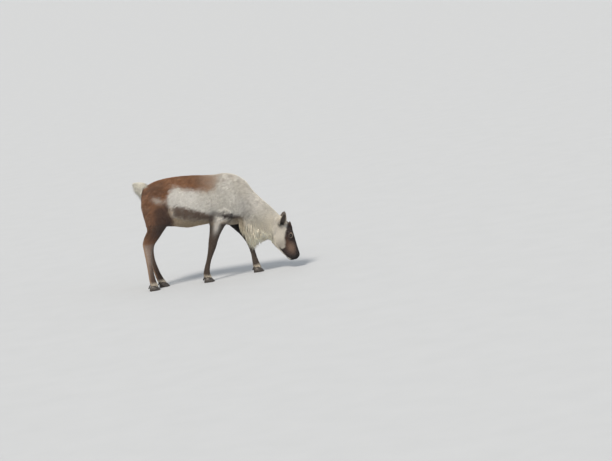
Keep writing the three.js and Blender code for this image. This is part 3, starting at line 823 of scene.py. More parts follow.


# The chestnut back and rump, darker along the spine, with painted highlights on its combed streaks, and the
# dark thigh.
def bodyBack(p, over, ragged, broad, streak, blotch):
    x, y, z = p.T
    brown = step(-30, 34, z - lineAt("backEdge", x) + 1.5 * ragged)
    brown *= step(880, 520, x - 0.35 * (1000 - z) + 1.5 * ragged)
    rear = step(26, -26, x - 250 - 30 * step(830, 720, z) + ragged)
    brown = np.maximum(brown, rear * step(430, 480, z))
    over("back", brown)
    over("rump", brown * step(260, 120, x))
    over("backDeep", brown * step(930, 1010, z + 14 * streak) * step(1046, 1030, z) * 0.35)
    combed = noise(np.stack([0.2 * (0.83 * x + 0.55 * z), 0.5 * y, 0.83 * z - 0.55 * x], axis=1), 10, 6)
    over("backDeep", brown * step(-0.1, 0.6, combed + 0.6 * broad) * 0.75)
    # The paler combed streaks are painted highlights.
    over("backLight", brown * step(0, 0.6, -combed - 0.3 * broad) * 0.75)
    over("backGrey", brown * step(0.1, 0.9, blotch - 0.3 * streak) * 0.3)
    over("backGrey", brown * step(470, 760, x + ragged) * (0.55 + 0.35 * streak))
    over("backDeep", spot(p, "spine") * 0.6)
    withers = step(600, 700, x) * step(1000, 880, x) * step(860, 940, z)
    over("backGrey", step(0.25, 0.9, blotch + streak) * withers * 0.5)
    thigh = step(862, 760, z + 0.5 * ragged) * step(20, 130, x - 0.2 * (z - 500) + 26 * streak)
    over("thighDark", rear * thigh * 0.92)
    over("legRear", rear * step(70, 5, x + 0.5 * ragged) * step(900, 820, z) * 0.22)


# Under the shoulder lies a painted shadow, then tan stripes run over the chest.
def bodyChest(p, over, ragged, streak):
    x, _, z = p.T
    # A painted shadow under the shoulder, stronger towards the front, in the face's dark colour.
    shoulderShade = np.exp(-(((z - lineAt("shoulderShadow", x) + 0.4 * ragged) / 23) ** 2))
    shoulderShade = np.clip(1.8 * shoulderShade, 0, 1) * (0.6 + 0.4 * step(660, 800, x))
    over("face", shoulderShade * step(640, 664, x) * step(970, 930, x))
    over("belly", spot(p, "chest") * 0.8)
    chest = step(590, 545, z) * step(700, 770, x) * step(985, 940, x)
    over("belly", chest * 0.55)
    over("flankBand", chest * step(0, 0.8, streak) * 0.6)
    over("mane", step(930, 1000, x) * step(620, 420, z) * 0.5)


# Dark lower legs with a tan rear edge on the hind ones, and pale hair at the hooves. High on the right
# foreleg is a dark stripe with a pale patch ahead of it, and high on the left one, behind the body, a
# near-black painted shadow.
def bodyLegs(p, over, ragged):
    x, y, z = p.T
    for name, leg in legForms.items():
        fromBack, fromFront, inside = legPlace(p, leg)
        depth = leg["top"] - z + 0.8 * ragged
        if name.startswith("hind"):
            shin = step(0, 60, depth) * (0.25 + 0.35 * step(10, 80, fromBack + ragged))
            over("thighDark", inside * shin)
            over("rump", inside * step(560, 440, z) * step(4, 16, fromFront) * 0.4)
            over("legDark", inside * (name == "hind_left") * step(620, 500, z) * 0.6)
            over("legRear", inside * step(21, 9, fromBack + 0.5 * ragged) * step(530, 450, z) * 0.85)
            over("legDark", inside * step(300, 120, z) * step(4, 30, fromBack) * 0.75)
        else:
            over("legDark", inside * step(-6, 34, depth) * 0.95)
        over("hoofHair", inside * step(88, 50, z + 0.8 * ragged) * 0.9)
    rightLeg = y < -40
    stripe = np.exp(-(((x - 652 + 0.2 * (640 - z)) / 22) ** 2) - ((z - 585) / 58) ** 4)
    over("legDark", stripe * rightLeg * 0.9)
    patch = np.exp(-(((x - 692 - (z - 530) * 0.35) / 27) ** 2) - ((z - 535) / 62) ** 2)
    over("palest", np.clip(1.4 * patch, 0, 1) * rightLeg)
    over("cream", patch * rightLeg * 0.3)
    # A near-black painted shadow high on the far left foreleg, behind the body.
    farForelegShade = legPlace(p, legForms["front_left"])[2]
    over("muzzle", farForelegShade * step(640, 520, z) * step(330, 420, z))


# The face is dark in front of the mask's edge, with a browner nose side, a black muzzle and mouth, and
# painted shade under the cheek, deep in the nostrils and in the mouth's line.
def bodyHead(p, over, ragged, streak):
    x, y, z = p.T
    head = step(1195, 1240, x) * step(500, 470, z)
    mask = step(-13, 13, x - lineAt("mask", z) + 0.8 * ragged) * head
    over("pale", head * 0.8)
    over("greyStreak", head * (0.36 + step(0.2, 0.9, streak) * 0.25))
    # A painted shade under the cheek, by the jaw.
    over("greyStreak", spot(p, "jaw") * head * 0.6)
    over("muzzle", spot(p, "behindEar") * step(30, 48, np.abs(y)) * 0.9)
    over("face", mask)
    over("noseSide", spot(p, "noseSide") * mask * step(14, 36, np.abs(y)))
    over("rump", spot(p, "cheek") * mask * 0.18)
    over("muzzle", step(-8, 10, x - lineAt("noseRidge", z)) * mask * 0.7)
    over("muzzle", step(138, 104, z + 0.3 * ragged) * mask * 0.9)
    lips = z - lineAt("lips", x)
    over("muzzle", np.exp(-(((lips - 8) / 17) ** 2)) * head * step(1235, 1262, x) * 0.85)
    over("pale", step(0, -8, lips + 0.2 * ragged) * head * step(1352, 1330, x) * 0.85)
    # Painted shade deep in the nostrils and the mouth's line.
    over("wet", creases(p) * 0.9)
    for right in (True, False):
        centre, outward = eyeCentre(right)
        gap = np.linalg.norm(np.cross(p - centre, outward), axis=1)
        mine = (p[:, 1] < 0) == right
        ring = np.exp(-(((gap - 21) / 3.5) ** 2)) * mine * head
        over("eyeRing", ring * (0.5 + 0.35 * np.sign(x - centre[0])))


# The ears' colour: dark grey with a pale rim, and a painted shade that makes it nearly black low in the
# cup.
def earColour(p):
    made = np.zeros((len(p), 3))
    for right in (True, False):
        front, across, length, root = earBasis(right)
        mine = (p[:, 1] < 0) == right
        local = p[mine] - root
        wide, out, up = local @ across, local @ front, local @ length
        rim = np.clip((np.abs(wide) - 18) / 9, 0, 1) * step(-14, -2, out) * 0.9 + 0.25 * step(30, 0, up)
        # Painted shade low in the ear's cup.
        cupShade = step(46, 22, up) * step(26, 12, np.abs(wide)) * step(-30, -10, out)
        dark, pale = linear(coat["ear"]), linear(coat["earRim"])
        made[mine] = dark + (pale - dark) * np.clip(rim, 0, 1)[:, None]
        made[mine] *= 1 - 0.75 * (cupShade * step(4, 14, up))[:, None]
    return made


def paintMesh(mesh, colours):
    layer = mesh.color_attributes.new("coatColour", "FLOAT_COLOR", "POINT")
    values = np.ones((len(mesh.vertices), 4), dtype=np.float32)
    values[:, :3] = colours
    layer.data.foreach_set("color", values.ravel())


def unwrap(piece):
    bpy.ops.object.select_all(action="DESELECT")
    bpy.context.view_layer.objects.active = piece
    piece.select_set(True)
    bpy.ops.object.mode_set(mode="EDIT")
    bpy.ops.mesh.select_all(action="SELECT")
    bpy.ops.uv.smart_project(angle_limit=math.radians(66), island_margin=0.004)
    bpy.ops.object.mode_set(mode="OBJECT")
    piece.data.uv_layers[0].name = "OFBake"


# Random places on the skin: positions, smooth normals and places on its unwrap.
# They stand closer together where thickness is more.
def scatter(skin, thickness, count):
    mesh = skin.data
    mesh.calc_loop_triangles()
    triangles = np.empty(len(mesh.loop_triangles) * 3, dtype=np.int32)
    loops = np.empty_like(triangles)
    mesh.loop_triangles.foreach_get("vertices", triangles)
    mesh.loop_triangles.foreach_get("loops", loops)
    triangles, loops = triangles.reshape(-1, 3), loops.reshape(-1, 3)
    places, normals = meshPoints(mesh), meshNormals(mesh)
    uvs = np.empty(len(mesh.loops) * 2)
    mesh.uv_layers["OFBake"].data.foreach_get("uv", uvs)
    uvs = uvs.reshape(-1, 2)
    a, b, c = (places[triangles[:, i]] for i in range(3))
    area = np.linalg.norm(np.cross(b - a, c - a), axis=1)
    weight = area * thickness((a + b + c) / 3, unit(normals[triangles].sum(axis=1)))
    chosen = draw.choice(len(triangles), size=count, p=weight / weight.sum())
    u, v = draw.random(count), draw.random(count)
    over = u + v > 1
    u[over], v[over] = 1 - u[over], 1 - v[over]
    shares = np.stack([1 - u - v, u, v], axis=1)[:, :, None]
    place = (places[triangles[chosen]] * shares).sum(axis=1)
    normal = unit((normals[triangles[chosen]] * shares).sum(axis=1))
    uv = (uvs[loops[chosen]] * shares).sum(axis=1)
    return place, normal, uv


# A blade's ring has three corners: how far sideways and outwards each lies, in halves of the blade's width.
bladeCorners = ((-1, -0.12), (1, -0.12), (0, 0.26))


# Closed blades of hair, each a chain of rings that ends in a point.
def bladeMesh(name, spine, across, outward, size, uv, colours, tones):
    rings = len(spine) - 1
    corners = []
    for k in range(rings):
        for side, rise in bladeCorners:
            corners.append(spine[k] + (across[k] * side + outward[k] * rise) * size[k][:, None] / 2)
    corners.append(spine[rings])
    perBlade, count = len(corners), len(corners[0])
    faces = [(2, 1, 0)]
    for k in range(0, 3 * (rings - 1), 3):
        faces += [(k + i, k + (i + 1) % 3, k + 3 + (i + 1) % 3, k + 3 + i) for i in range(3)]
    faces += [(3 * (rings - 1) + i, 3 * (rings - 1) + (i + 1) % 3, perBlade - 1) for i in range(3)]
    pattern = np.concatenate([np.array(f) for f in faces])
    sizes = np.array([len(f) for f in faces])
    corner = (np.arange(count)[:, None] * perBlade + pattern[None]).ravel()
    mesh = bpy.data.meshes.new(name)
    mesh.vertices.add(count * perBlade)
    mesh.vertices.foreach_set("co", np.stack(corners, axis=1).ravel())
    mesh.loops.add(len(corner))
    mesh.loops.foreach_set("vertex_index", corner.astype(np.int32))
    mesh.polygons.add(count * len(faces))
    starts = np.concatenate([[0], np.cumsum(np.tile(sizes, count))[:-1]])
    mesh.polygons.foreach_set("loop_start", starts.astype(np.int32))
    mesh.polygons.foreach_set("use_smooth", np.ones(count * len(faces), dtype=bool))
    mesh.update(calc_edges=True)
    shares = np.append(np.repeat(np.arange(rings) / rings, 3), 1)
    bright = tones[0] + (tones[1] - tones[0]) * shares
    paintMesh(mesh, np.clip(colours[:, None] * bright[None, :, None], 0, 1).reshape(-1, 3))
    sides = np.append(np.tile([-0.5, 0.5, 0], rings), 0)
    patch = np.stack([sides, shares - 0.5], axis=1) * 0.003  # each blade's patch on the skin's unwrap
    layer = mesh.uv_layers.new(name="OFBake")
    layer.data.foreach_set("uv", (uv[:, None] + patch[None]).reshape(-1, 2)[corner].ravel())
    return mesh


# Short tufts that rise from the skin at one angle and settle to another.
def tuftMesh(name, root, normal, flow, uv, s, length, width, lift, colours):
    first = unit(flow * np.cos(lift)[:, None] + normal * np.sin(lift)[:, None])
    settled = lift * s["settle"]
    last = unit(flow * np.cos(settled)[:, None] + normal * np.sin(settled)[:, None])
    start = root - first * (length * s["sink"])[:, None]
    shares = np.linspace(0, 1, s["rings"] + 1)
    spine = [start + (first * (t - t * t / 2) + last * (t * t / 2)) * length[:, None] for t in shares]
    across = [unit(np.cross(first, normal))] * len(shares)
    outward = [unit(np.cross(across[0], unit(first * (1 - t) + last * t))) for t in shares]
    outward = [out * np.sign((out * normal).sum(axis=1, keepdims=True)) for out in outward]
    size = [width * (1 - 0.85 * t**1.3) for t in shares]
    return bladeMesh(name, spine, across, outward, size, uv, colours, s["tones"])


# Long locks that leave the skin outwards, then hang along a given way with a slight wave.
def lockMesh(name, root, normal, hang, uv, s, length, width, colours):
    count = len(root)
    first = unit(hang * (1 - s["out"]) + normal * s["out"])
    side = unit(np.cross(hang, normal) + 1e-6)
    phase = draw.random((count, 1)) * 2 * math.pi
    wave = s["wave"] * length[:, None] * draw.random((count, 1))

    def spineAt(t):
        drop = (first * (t - t * t / 2) + hang * (t * t / 2) * 1.15) * length[:, None]
        return root - first * s["sink"] + drop + side * wave * np.sin(phase + 5 * t) * t

    shares = np.linspace(0, 1, s["rings"] + 1)
    spine = [spineAt(t) for t in shares]
    tangent = [unit(spineAt(t + 0.02) - spineAt(t)) for t in shares]
    across = [unit(np.cross(way, normal) + 0.3 * side) for way in tangent]
    outward = [np.cross(a, way) for a, way in zip(across, tangent)]
    size = [width * (0.3 + 1.2 * t) * (1 - t**2) for t in shares]
    return bladeMesh(name, spine, across, outward, size, uv, colours, s["tones"])


def tangentTo(flow, normal):
    return unit(flow - normal * (flow * normal).sum(axis=1, keepdims=True))


# Which way the hair lies: from nose to tail, and down the sides and legs.
def hairFlow(points, normal):
    p = toForm(points)
    x, _, z = p.T

    def blend(flow, way, share):
        return flow * (1 - share[:, None]) + np.array(way) * share[:, None]

    flow = np.repeat(np.array([[-1, 0, -0.22]]), len(p), axis=0)
    flow[:, 2] -= 0.5 * np.abs(normal[:, 1])
    neck = step(900, 1050, x)
    flow = blend(flow, (-0.62, 0, -0.6), neck)
    flow = blend(flow, (-0.8, 0, 0.55), neck * step(-0.1, 0.6, normal[:, 2]))  # the nape
    flow = blend(flow, (-0.45, 0, -0.9), step(330, 240, x) * step(860, 700, z))  # the thigh
    flow = blend(flow, (-0.12, 0, -1.0), isLeg(p).astype(float))
    flow = blend(flow, (-0.35, 0, 0.94), step(1190, 1260, x) * step(500, 440, z))  # the face
    flow = blend(flow, (-1.0, 0, -0.25), step(90, 40, x) * step(960, 1000, z - 0.3 * x))  # the tail
    sway = 0.2 * noise(p, 46, 11) + 0.12 * noise(p, 15, 12) + 0.1 * draw.standard_normal(len(p))
    flow = tangentTo(flow, normal)
    return unit(flow + np.cross(normal, flow) * sway[:, None])


# Tufts settle to a tenth of their lift, an eighth of each is under the skin, and their roots are darker.
def tuftKind(count, length, width, lift, rings, slot, node, tones=(0.72, 1.12)):
    kind = {"count": count, "length": length, "width": width, "lift": lift, "rings": rings, "slot": slot}
    return {**kind, "node": node, "settle": 0.1, "sink": 0.12, "tones": tones}


# Each coat piece: tufts, millimetres of length and width, degrees of lift, rings, and what it belongs to.
tufts = {
    "coat_back_rear": tuftKind(15500, 36, 3.6, 15, 2, "body_coat", "torso"),
    "coat_back_front": tuftKind(15500, 38, 3.6, 15, 2, "body_coat", "torso"),
    "coat_right_flank": tuftKind(17500, 38, 4.0, 14, 2, "body_coat", "torso"),
    "coat_left_flank": tuftKind(17500, 38, 4.0, 14, 2, "body_coat", "torso"),
    "coat_neck": tuftKind(17500, 46, 3.8, 14, 2, "neck_coat", "neck"),
    "coat_hind_legs": tuftKind(36000, 14, 1.5, 13, 1, "leg_coat", "torso"),
    "coat_fore_legs": tuftKind(28000, 13, 1.4, 13, 1, "leg_coat", "torso"),
    "coat_head": tuftKind(46000, 9, 1.25, 9, 1, "head_coat", "head", (0.88, 1.08)),
}


# Where one coat piece gives way to the next along the body, and where the tail's own hair begins.
coatJoins = {"middle": 430, "neck": 960, "tail": (58, 990)}


# Where a coat piece grows, and how thickly.
def coverOf(name):
    middle, neck = coatJoins["middle"], coatJoins["neck"]

    def cover(points, normal):
        p = toForm(points)
        x, y, z = p.T
        leg, head, ear = isLeg(p), isHead(p), nearEar(p)
        if name == "coat_head":
            clear = (nearEye(p) > 1.22) & (creases(p) < 0.35)
            return (head & ~ear) * (0.8 + 1.6 * step(260, 110, z)) * clear
        if name == "coat_hind_legs":
            return leg & (x < middle)
        if name == "coat_fore_legs":
            return leg & (x >= middle)
        tail = (x < coatJoins["tail"][0]) & (z > coatJoins["tail"][1])
        rest = ~leg & ~head & ~ear & ~tail
        if name == "coat_neck":
            return (rest & (x > neck)) * (1 + 1.6 * step(-140, 0, headGap(p)))
        up = normal[:, 2] > 0.5
        if name == "coat_back_rear":
            return rest & up & (x <= middle)
        if name == "coat_back_front":
            return rest & up & (x > middle) & (x <= neck)
        return rest & (x <= neck) & ~up & ((y < 0) == (name == "coat_right_flank"))

    return cover


# Whether points lie on an ear's leaf, or within 3 mm of it.
def nearEar(p):
    rows = np.array(earShape["rows"])
    close = np.zeros(len(p), dtype=bool)
    for right in (True, False):
        front, across, length, root = earBasis(right)
        up = (p - root) @ length
        middle, depth, half = (np.interp(up, rows[:, 0], rows[:, column]) for column in (1, 2, 3))
        near = (np.abs((p - root) @ front - middle) < depth + 3) & (np.abs((p - root) @ across) < half + 3)
        close |= near & (up > 12) & (up < 150)
    return close


def eyeCentre(right):
    place, outward = surfaceAt(headForm, *eye["place"], right)
    return place - outward * eye["depth"], outward


# How many times the eye's opening points lie from its middle.
def nearEye(p):
    sizes = []
    for centre, outward, long, short in (eyeAxes(True), eyeAxes(False)):
        across = (p - centre) @ long / eye["opening"][0], (p - centre) @ short / eye["opening"][1]
        sizes.append(np.hypot(*across) + 9 * ((p - centre) @ outward < 0))
    return np.min(sizes, axis=0)


def spread(count, amount):
    return 1 + amount * draw.standard_normal(count).clip(-2, 2)


def growCoat(skin, name, s, hair):
    count = s["count"] // 1
    root, normal, uv = scatter(skin, coverOf(name), count)
    p = toForm(root)
    z = p[:, 2]
    flow = hairFlow(root, normal)
    length = s["length"] * spread(count, 0.16)
    width = s["width"] * spread(count, 0.22) * 1
    if name == "coat_head":
        share = step(100, 330, z)
        length *= 0.5 + 0.75 * share
        width *= 0.85 + 0.35 * share
        length *= 1 + 0.4 * step(40, 0, headGap(p))
    if name.endswith("legs"):
        length *= 0.85 + 0.9 * step(400, 600, z) + 0.9 * step(74, 45, z)
        width *= 1 + 0.5 * step(400, 600, z)
    toHead = headGap(p)
    if name == "coat_neck":
        length *= 1 - 0.68 * step(-140, 0, toHead)
        width *= 1 - 0.5 * step(-140, 0, toHead)
    lift = np.radians(s["lift"] * (1 + 0.3 * noise(p, 18, 21)) + 4 * draw.standard_normal(count))
    # Hair crosses the markings' edges by about 3 mm where it is short and 11 mm where it is long.
    mixing = (0.003 if s["length"] < 20 else 0.011) * draw.standard_normal((count, 3))
    colours = bodyColour(root + flow * (length / 2000)[:, None] + mixing) * spread((count, 1), 0.09)
    mesh = tuftMesh(name, root, normal, flow, uv, s, length / 1000, width / 1000, lift, colours)
    finishPiece(linkMesh(mesh), hair, [s["node"]])
    print(name, len(mesh.vertices), "points")


maneSettings = {
    "count": 6000,
    "from": 903,  # where it grows along the neck
    "to": 1195,
    "halfWidth": 96,
    "outline": 290,  # over this length its locks grow and shrink again
    "length": 172,
    "width": 5.2,
    "rings": 4,
    "clumps": 60,
    "gather": 0.55,  # how far a lock's tip moves to its clump's tip
    "out": 0.3,
    "sink": 0.016,  # metres of each lock under the skin
    "wave": 0.035,
    # Locks are darker at the root, a painted shade deep in the mane, and brighter at the tip.
    "tones": (0.64, 1.42),
}


# How far points lie below the line where the mane begins.
def maneDepth(p):
    return lineAt("maneTop", p[:, 0]) - p[:, 2]


# The throat mane: long locks from the neck's underside, longest behind its middle and gathered into clumps.
def growMane(skin, s, hair):
    def cover(points, _):
        p = toForm(points)
        x, y, z = p.T
        room = (x > s["from"]) & (x < s["to"]) & (np.abs(y) < s["halfWidth"]) & (z > 250)
        room &= (y < 30) | (x > 1020)  # the left foreleg takes the room beside the mane's back
        return room * step(-25, 100, maneDepth(p)) * ~(isHead(p) | isLeg(p))

    count = s["count"] // 1
    root, normal, uv = scatter(skin, cover, count)
    p = toForm(root)
    share = np.clip((p[:, 0] - s["from"]) / s["outline"], 0, 1)
    fullness = 0.2 + 0.8 * np.exp(-(((share - 0.32) / 0.3) ** 2)) - 0.1 * step(0.7, 0.95, share)
    under = step(0.2, -0.6, normal[:, 2])
    grown = step(-30, 130, maneDepth(p))
    length = s["length"] * fullness * (0.6 + 0.4 * under) * (0.3 + 0.7 * grown)
    length = length * spread(count, 0.14) / 1000 + s["sink"]
    down = np.repeat(np.array([[-0.02, 0, -1.0]]), count, axis=0)
    down[:, 1] -= 0.0015 * p[:, 1]
    tips = root + unit(down) * length[:, None]
    heads = draw.choice(count, s["clumps"], replace=False)
    nearest = np.argmin(np.linalg.norm(tips[:, None, :2] - tips[None, heads, :2], axis=2), axis=1)
    gathered = tips * (1 - s["gather"]) + tips[heads][nearest] * s["gather"]
    gathered[:, 2] = tips[:, 2]
    down = unit(gathered - root + 0.004 * draw.standard_normal((count, 3)))
    tone = 0.96 + 0.24 * noise(p * np.array([1, 1, 0.2]), 13, 32) + 0.1 * draw.standard_normal(count)
    tone = tone[:, None]
    tone *= 1 - 0.45 * (draw.random((count, 1)) > 0.86)
    blend = grown[:, None] * (0.55 + 0.45 * draw.random((count, 1)))
    colours = (linear(coat["mane"]) * blend + bodyColour(root) * (1 - blend)) * tone
    width = s["width"] * (0.6 + 0.4 * grown) * spread(count, 0.3) * 1 / 1000
    flatter = s | {"out": s["out"] * (0.2 + 0.8 * grown)[:, None]}
    mesh = lockMesh("coat_mane", root, normal, down, uv, flatter, length, width, colours)
    finishPiece(linkMesh(mesh), hair, ["neck"])
    print("coat_mane", len(mesh.vertices), "points")


tailSettings = {
    "count": 3600,
    "width": 3.6,
    "shortest": 38,
    "longest": 134,
    "rings": 3,
    "out": 0.3,
    "sink": 0.006,
    "wave": 0.05,
    "tones": (0.8, 1.06),
}


# The tail's white hair fans back from its core and hangs longest below it.
def growTail(skin, s, hair):
    def cover(points, _):
        p = toForm(points)
        return (p[:, 0] < 84) & (p[:, 2] > 968 + 0.4 * p[:, 0]) & (np.abs(p[:, 1]) < 36)

    count = s["count"] // 1
    root, normal, uv = scatter(skin, cover, count)
    p = toForm(root)
    near = step(-30, 60, p[:, 0])
    under = step(0.3, -0.6, normal[:, 2])
    hang = np.stack([-1 + 1.1 * under * near, 0.25 * normal[:, 1], -0.3 - 1.2 * under * near], axis=1)
    hang = unit(hang + 0.1 * draw.standard_normal(hang.shape))
    hanging = (s["longest"] - s["shortest"]) * under * near
    length = (s["shortest"] + hanging) * spread(count, 0.15) / 1000
    width = s["width"] * spread(count, 0.25) / 1000
    colours = linear(coat["white"]) * (0.95 + 0.08 * draw.standard_normal((count, 1)))
    mesh = lockMesh("coat_tail", root, normal, hang, uv, s, length, width, colours)
    finishPiece(linkMesh(mesh), hair, ["tail"])


earCoat = {
    "count": 14000,
    "length": 9,
    "width": 1.3,
    "lift": 13,
    "rings": 1,
    "settle": 0.1,
    "sink": 0.12,
    "tones": (0.75, 1.1),
}


# Short hair on the ears: grey, palest on the rim, with longer pale hair that crosses the cup.
def growEars(skin, s, hair):
    count = s["count"] // 1
    root, normal, uv = scatter(skin, lambda points, _: nearEar(toForm(points)), count)
    p = toForm(root)
    flow = np.zeros_like(p)
    reach = np.ones(len(p))
    for right in (True, False):
        front, across, length, base = earBasis(right)
        mine = (p[:, 1] < 0) == right
        local = p - base
        wide, out = local @ across, local @ front
        inside = (normal @ front > 0.1) & mine
        rim = np.clip((np.abs(wide) - 17) / 9, 0, 1) + np.clip((out - 2) / 6, 0, 1)
        flow[mine] = length
        flow[inside] -= np.sign(wide[inside])[:, None] * across * 0.5
        reach = np.where(inside & (rim > 0.3), 1.5, reach)
    flow = tangentTo(flow + 0.12 * draw.standard_normal(flow.shape), normal)
    colours = earColour(p) * spread((count, 1), 0.12)
    length = s["length"] * reach * spread(count, 0.2) / 1000
    width = s["width"] * spread(count, 0.2) * 1 / 1000
    lift = np.radians(s["lift"] + 5 * draw.standard_normal(count))
    mesh = tuftMesh("coat_ears", root, normal, flow, uv, s, length, width, lift, colours)
    finishPiece(linkMesh(mesh), hair, ["ear_right", "ear_left"])


eye = {
    "place": (1379, 322),  # seen from the side
    "radius": 17,
    "depth": 14.5,  # from the skin to the ball's middle
    "opening": (15.4, 10.8),  # half its length and height
    "slant": (-0.3, 0, 0.95),  # which way its length runs
    "cornea": 1.1,  # how much further the cornea bulges
    "corneaEdge": 0.72,  # cosine of the angle at which its bulge ends
    "almond": 0.16,  # how much narrower the opening is at one end
    "lidGap": 0.9,  # the least room between the lids and the ball
    # The lids' section from their wet edge outwards: share of the opening, rise, and share of the skin's
    # height, where the rest follows the ball.
    "lids": [(0.97, -0.6, 0), (1.0, 0.8, 0), (1.05, 1.6, 0.05), (1.14, 1.9, 0.3), (1.27, 1.4, 0.7)]
    + [(1.45, 0.5, 1), (1.6, -0.4, 1), (1.8, -1.8, 1)],
}


def eyeAxes(right):
    centre, outward = eyeCentre(right)
    slant = np.array(eye["slant"])
    long = unit(slant - outward * (slant @ outward))
    return centre, outward, long, np.cross(outward, long)


# An eyeball whose cornea bulges a little further.
def makeEye(right, cornea):
    side = "right" if right else "left"
    centre, outward = eyeCentre(right)
    edge = eye["corneaEdge"]
    bm = bmesh.new()
    bmesh.ops.create_uvsphere(bm, u_segments=48, v_segments=32, radius=eye["radius"] / 1000)
    for v in bm.verts:
        bulge = max(0, v.co.normalized().dot(Vector(outward)) - edge) / (1 - edge)
        v.co += Vector(outward) * eye["cornea"] / 1000 * bulge**1.2
    bmesh.ops.translate(bm, verts=bm.verts, vec=Vector(toFrame(centre)))
    finishPiece(linkMesh(smoothMesh(bm, "eye_ball_" + side)), cornea, ["eye_" + side])


# How far out the eyeball's surface lies at a distance from its axis, and beyond its rim ever further in.
def ballHeight(gap):
    rim = eye["radius"] - 0.5
    return math.sqrt(eye["radius"] ** 2 - min(gap, rim) ** 2) - 1.5 * max(0, gap - rim)


# Both lids as one ring, which starts on the eyeball as an almond and runs out to the skin.
def makeLids(right, underfur, tree):
    side = "right" if right else "left"
    centre, outward, long, short = eyeAxes(right)
    wide, high = eye["opening"]
    bm = bmesh.new()
    ring = bmesh.ops.create_circle(bm, segments=56, radius=1)["verts"]
    edges = list(bm.edges)
    rings = [ring]
    for _ in eye["lids"][1:]:
        made = bmesh.ops.extrude_edge_only(bm, edges=edges)["geom"]
        edges = [g for g in made if isinstance(g, bmesh.types.BMEdge)]
        rings.append([g for g in made if isinstance(g, bmesh.types.BMVert)])
    for (size, rise, share), verts in zip(eye["lids"], rings):
        for v in verts:
            a = math.atan2(v.co.y, v.co.x)
            flat = long * wide * size * math.cos(a)
            flat = flat + short * high * size * math.sin(a) * (1 - eye["almond"] * math.cos(a))
            onBall = ballHeight(np.linalg.norm(flat))
            hit = tree.ray_cast(Vector(toFrame(centre + flat + outward * 60)), Vector(-outward), 0.1)
            onSkin = (toForm(np.array(hit[0])) - centre) @ outward if hit[0] else onBall
            height = onBall * (1 - share) + onSkin * share + rise
            if size >= 1:
                height = max(height, onBall + eye["lidGap"])
            v.co = Vector(toFrame(centre + flat + outward * height))
    mesh = smoothMesh(bm, "eyelids_" + side)
    points = meshPoints(mesh)
    gaps = (toForm(points) - centre) - np.outer((toForm(points) - centre) @ outward, outward)
    size = np.hypot(gaps @ long / wide, gaps @ short / high)
    bare, furred = linear(coat["lidEdge"]), linear(coat["face"])
    share = step(1.03, 1.2, size)[:, None]
    paintMesh(mesh, bare * (1 - share) + (0.35 * furred + 0.65 * bodyColour(points)) * share)
    finishPiece(linkMesh(mesh), underfur, ["head"])


# A claw runs from heel to toe and a dewclaw from its root down, both placed from the foot's middle.
clawForm = {
    "rows": [
        row((-42, 26), (-44, -3), 20, 12, 0.3, 2, 3.5),
        row((-30, 41), (-32, -4), 23, 18.5, 0.25, 2, 3.5),
        row((-8, 50), (-8, -4), 25, 22.5, 0.22, 1.9, 3.5),
        row((14, 47), (17, -4), 25.5, 23.5, 0.2, 1.8, 3.5),
        row((33, 33), (39, -4), 24, 20.5, 0.2, 1.8, 3.5),
        row((47, 18), (54, -4), 19.5, 13.5, 0.25, 1.9, 3.5),
        row((56, 8), (61, -3), 15, 6.5, 0.3, 2, 3.5),
    ],
    "caps": (0.1, 0.06),
}
dewclawForm = {
    "rows": [
        row((-26, 62), (-38, 54), 20, 8),
        row((-32, 50), (-47, 43), 22, 11),
        row((-37, 38), (-53, 31), 23, 11),
        row((-43, 26), (-54, 22), 23, 6),
    ],
    "caps": (0.2, 0.18),
}


# Two claws and two dewclaws of horn, whose soles are flat on the floor.
def makeFoot(name, leg, horn):
    outer = 1 if leg["centre"][1] > 0 else -1
    for part, form in (("claw", clawForm), ("dewclaw", dewclawForm)):
        for which, side in (("outer", outer), ("inner", -outer)):

            def place(along, around, form=form, side=side):
                return formPoints(form, along, around) * [1, side, 1] + [*leg["centre"], 0]

            bm = bmesh.new()
            addBall(bm, 32, 28, place)
            for v in bm.verts:
                v.co.z = max(v.co.z, 0)
            mesh = smoothMesh(bm, "%s_horn_%s_%s" % (part, which, name))
            finishPiece(linkMesh(mesh), horn, ["%s_%s_%s" % (part, which, name)])


budForm = {
    "rows": [
        row((14, -26), (-14, -26), 0, 14),
        row((13, -4), (-13, -4), 0, 12.5),
        row((10.5, 20), (-10.5, 20), 0, 10),
        row((10.5, 40), (-10.5, 40), 0, 10),
    ],
    "caps": (0.1, 0.2),
    "place": (1388, 29, 402),
    "lean": (0.3, 0.08),  # outwards and back
}
budDown = earCoat | {"count": 2500, "length": 5, "width": 0.9, "lift": 28}


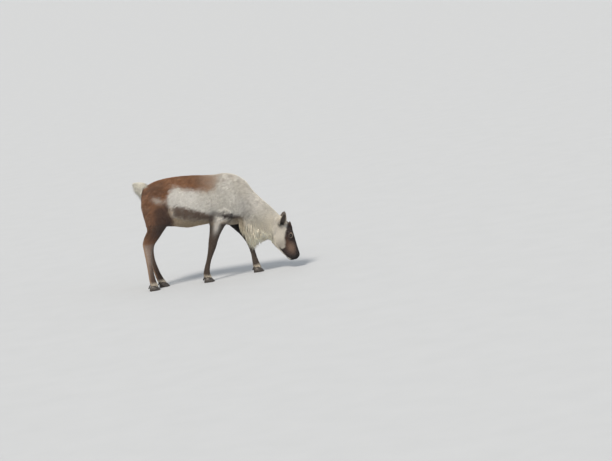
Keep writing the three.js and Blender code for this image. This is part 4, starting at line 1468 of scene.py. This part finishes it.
# An antler bud in velvet: a short stub, knobbled under fine dark down.
def makeBud(right, underfur, hair):
    side = -1 if right else 1
    out, back = budForm["lean"]
    turn = Matrix.Rotation(-back, 3, "Y") @ Matrix.Rotation(side * -out, 3, "X")
    centre = np.array(budForm["place"]) * [1, side, 1]

    def place(along, around):
        local = formPoints(budForm, along, around)
        local += unit(local - [0, 0, 5]) * (1.2 * noise(local, 7, 41))[:, None]
        return local @ np.array(turn).T + centre

    name = "right" if right else "left"
    bm = bmesh.new()
    addBall(bm, 40, 36, place)
    mesh = smoothMesh(bm, "antler_bud_velvet_" + name)
    points = toForm(meshPoints(mesh))
    high = step(430, 444, points[:, 2])[:, None]
    paintMesh(mesh, linear(coat["velvet"]) * (1 - 0.4 * high) + linear(coat["velvetTip"]) * 0.4 * high)
    bud = linkMesh(mesh)
    unwrap(bud)
    finishPiece(bud, underfur, ["antler_bud_" + name])
    growDown(bud, budDown, name, hair)


def growDown(bud, s, name, hair):
    count = s["count"]
    root, normal, uv = scatter(bud, lambda points, _: np.ones(len(points)), count)
    flow = tangentTo(np.array([[0, 0, 1.0]]) + 0.25 * draw.standard_normal((count, 3)), normal)
    tone = linear(coat["velvetDown"]) * spread((count, 1), 0.2)
    size = spread(count, 0.2) / 1000
    length, width = s["length"] * size, s["width"] * size
    lift = np.full(count, math.radians(s["lift"]))
    mesh = tuftMesh("antler_bud_down_" + name, root, normal, flow, uv, s, length, width, lift, tone)
    finishPiece(linkMesh(mesh), hair, ["antler_bud_" + name])


def makeFloor(material):
    bm = bmesh.new()
    bmesh.ops.create_grid(bm, x_segments=2, y_segments=2, size=4000)  # metres, out to the horizon
    floor = linkMesh(smoothMesh(bm, "floor"))
    floor.data.materials.append(material)


makeCamera(cameraSettings)
makeLights(lightSettings)
makeFloor(floorMaterial())
hair = hairMaterial()
underfur = underfurMaterial()
horn = hornMaterial()
cornea = eyeMaterial()
skin = makeSkin(skinSettings)
print("skin", len(skin.data.polygons), "faces")

unwrap(skin)
base = meshPoints(skin.data)
onEar = nearEar(toForm(base))[:, None]
paintMesh(skin.data, np.where(onEar, earColour(toForm(base)), bodyColour(base)) * 0.9)
finishPiece(skin, underfur, fleshNodes)
print("unwrapped and painted")

for name, settings in tufts.items():
    growCoat(skin, name, settings, hair)
growMane(skin, maneSettings, hair)
growTail(skin, tailSettings, hair)
growEars(skin, earCoat, hair)
faces = [tuple(f.vertices) for f in skin.data.polygons]
tree = BVHTree.FromPolygons([tuple(p) for p in meshPoints(skin.data)], faces)
for right in (True, False):
    makeEye(right, cornea)
    makeLids(right, underfur, tree)
    makeBud(right, underfur, hair)
for name, leg in legForms.items():
    makeFoot(name, leg, horn)
print("eyes, buds and hooves")
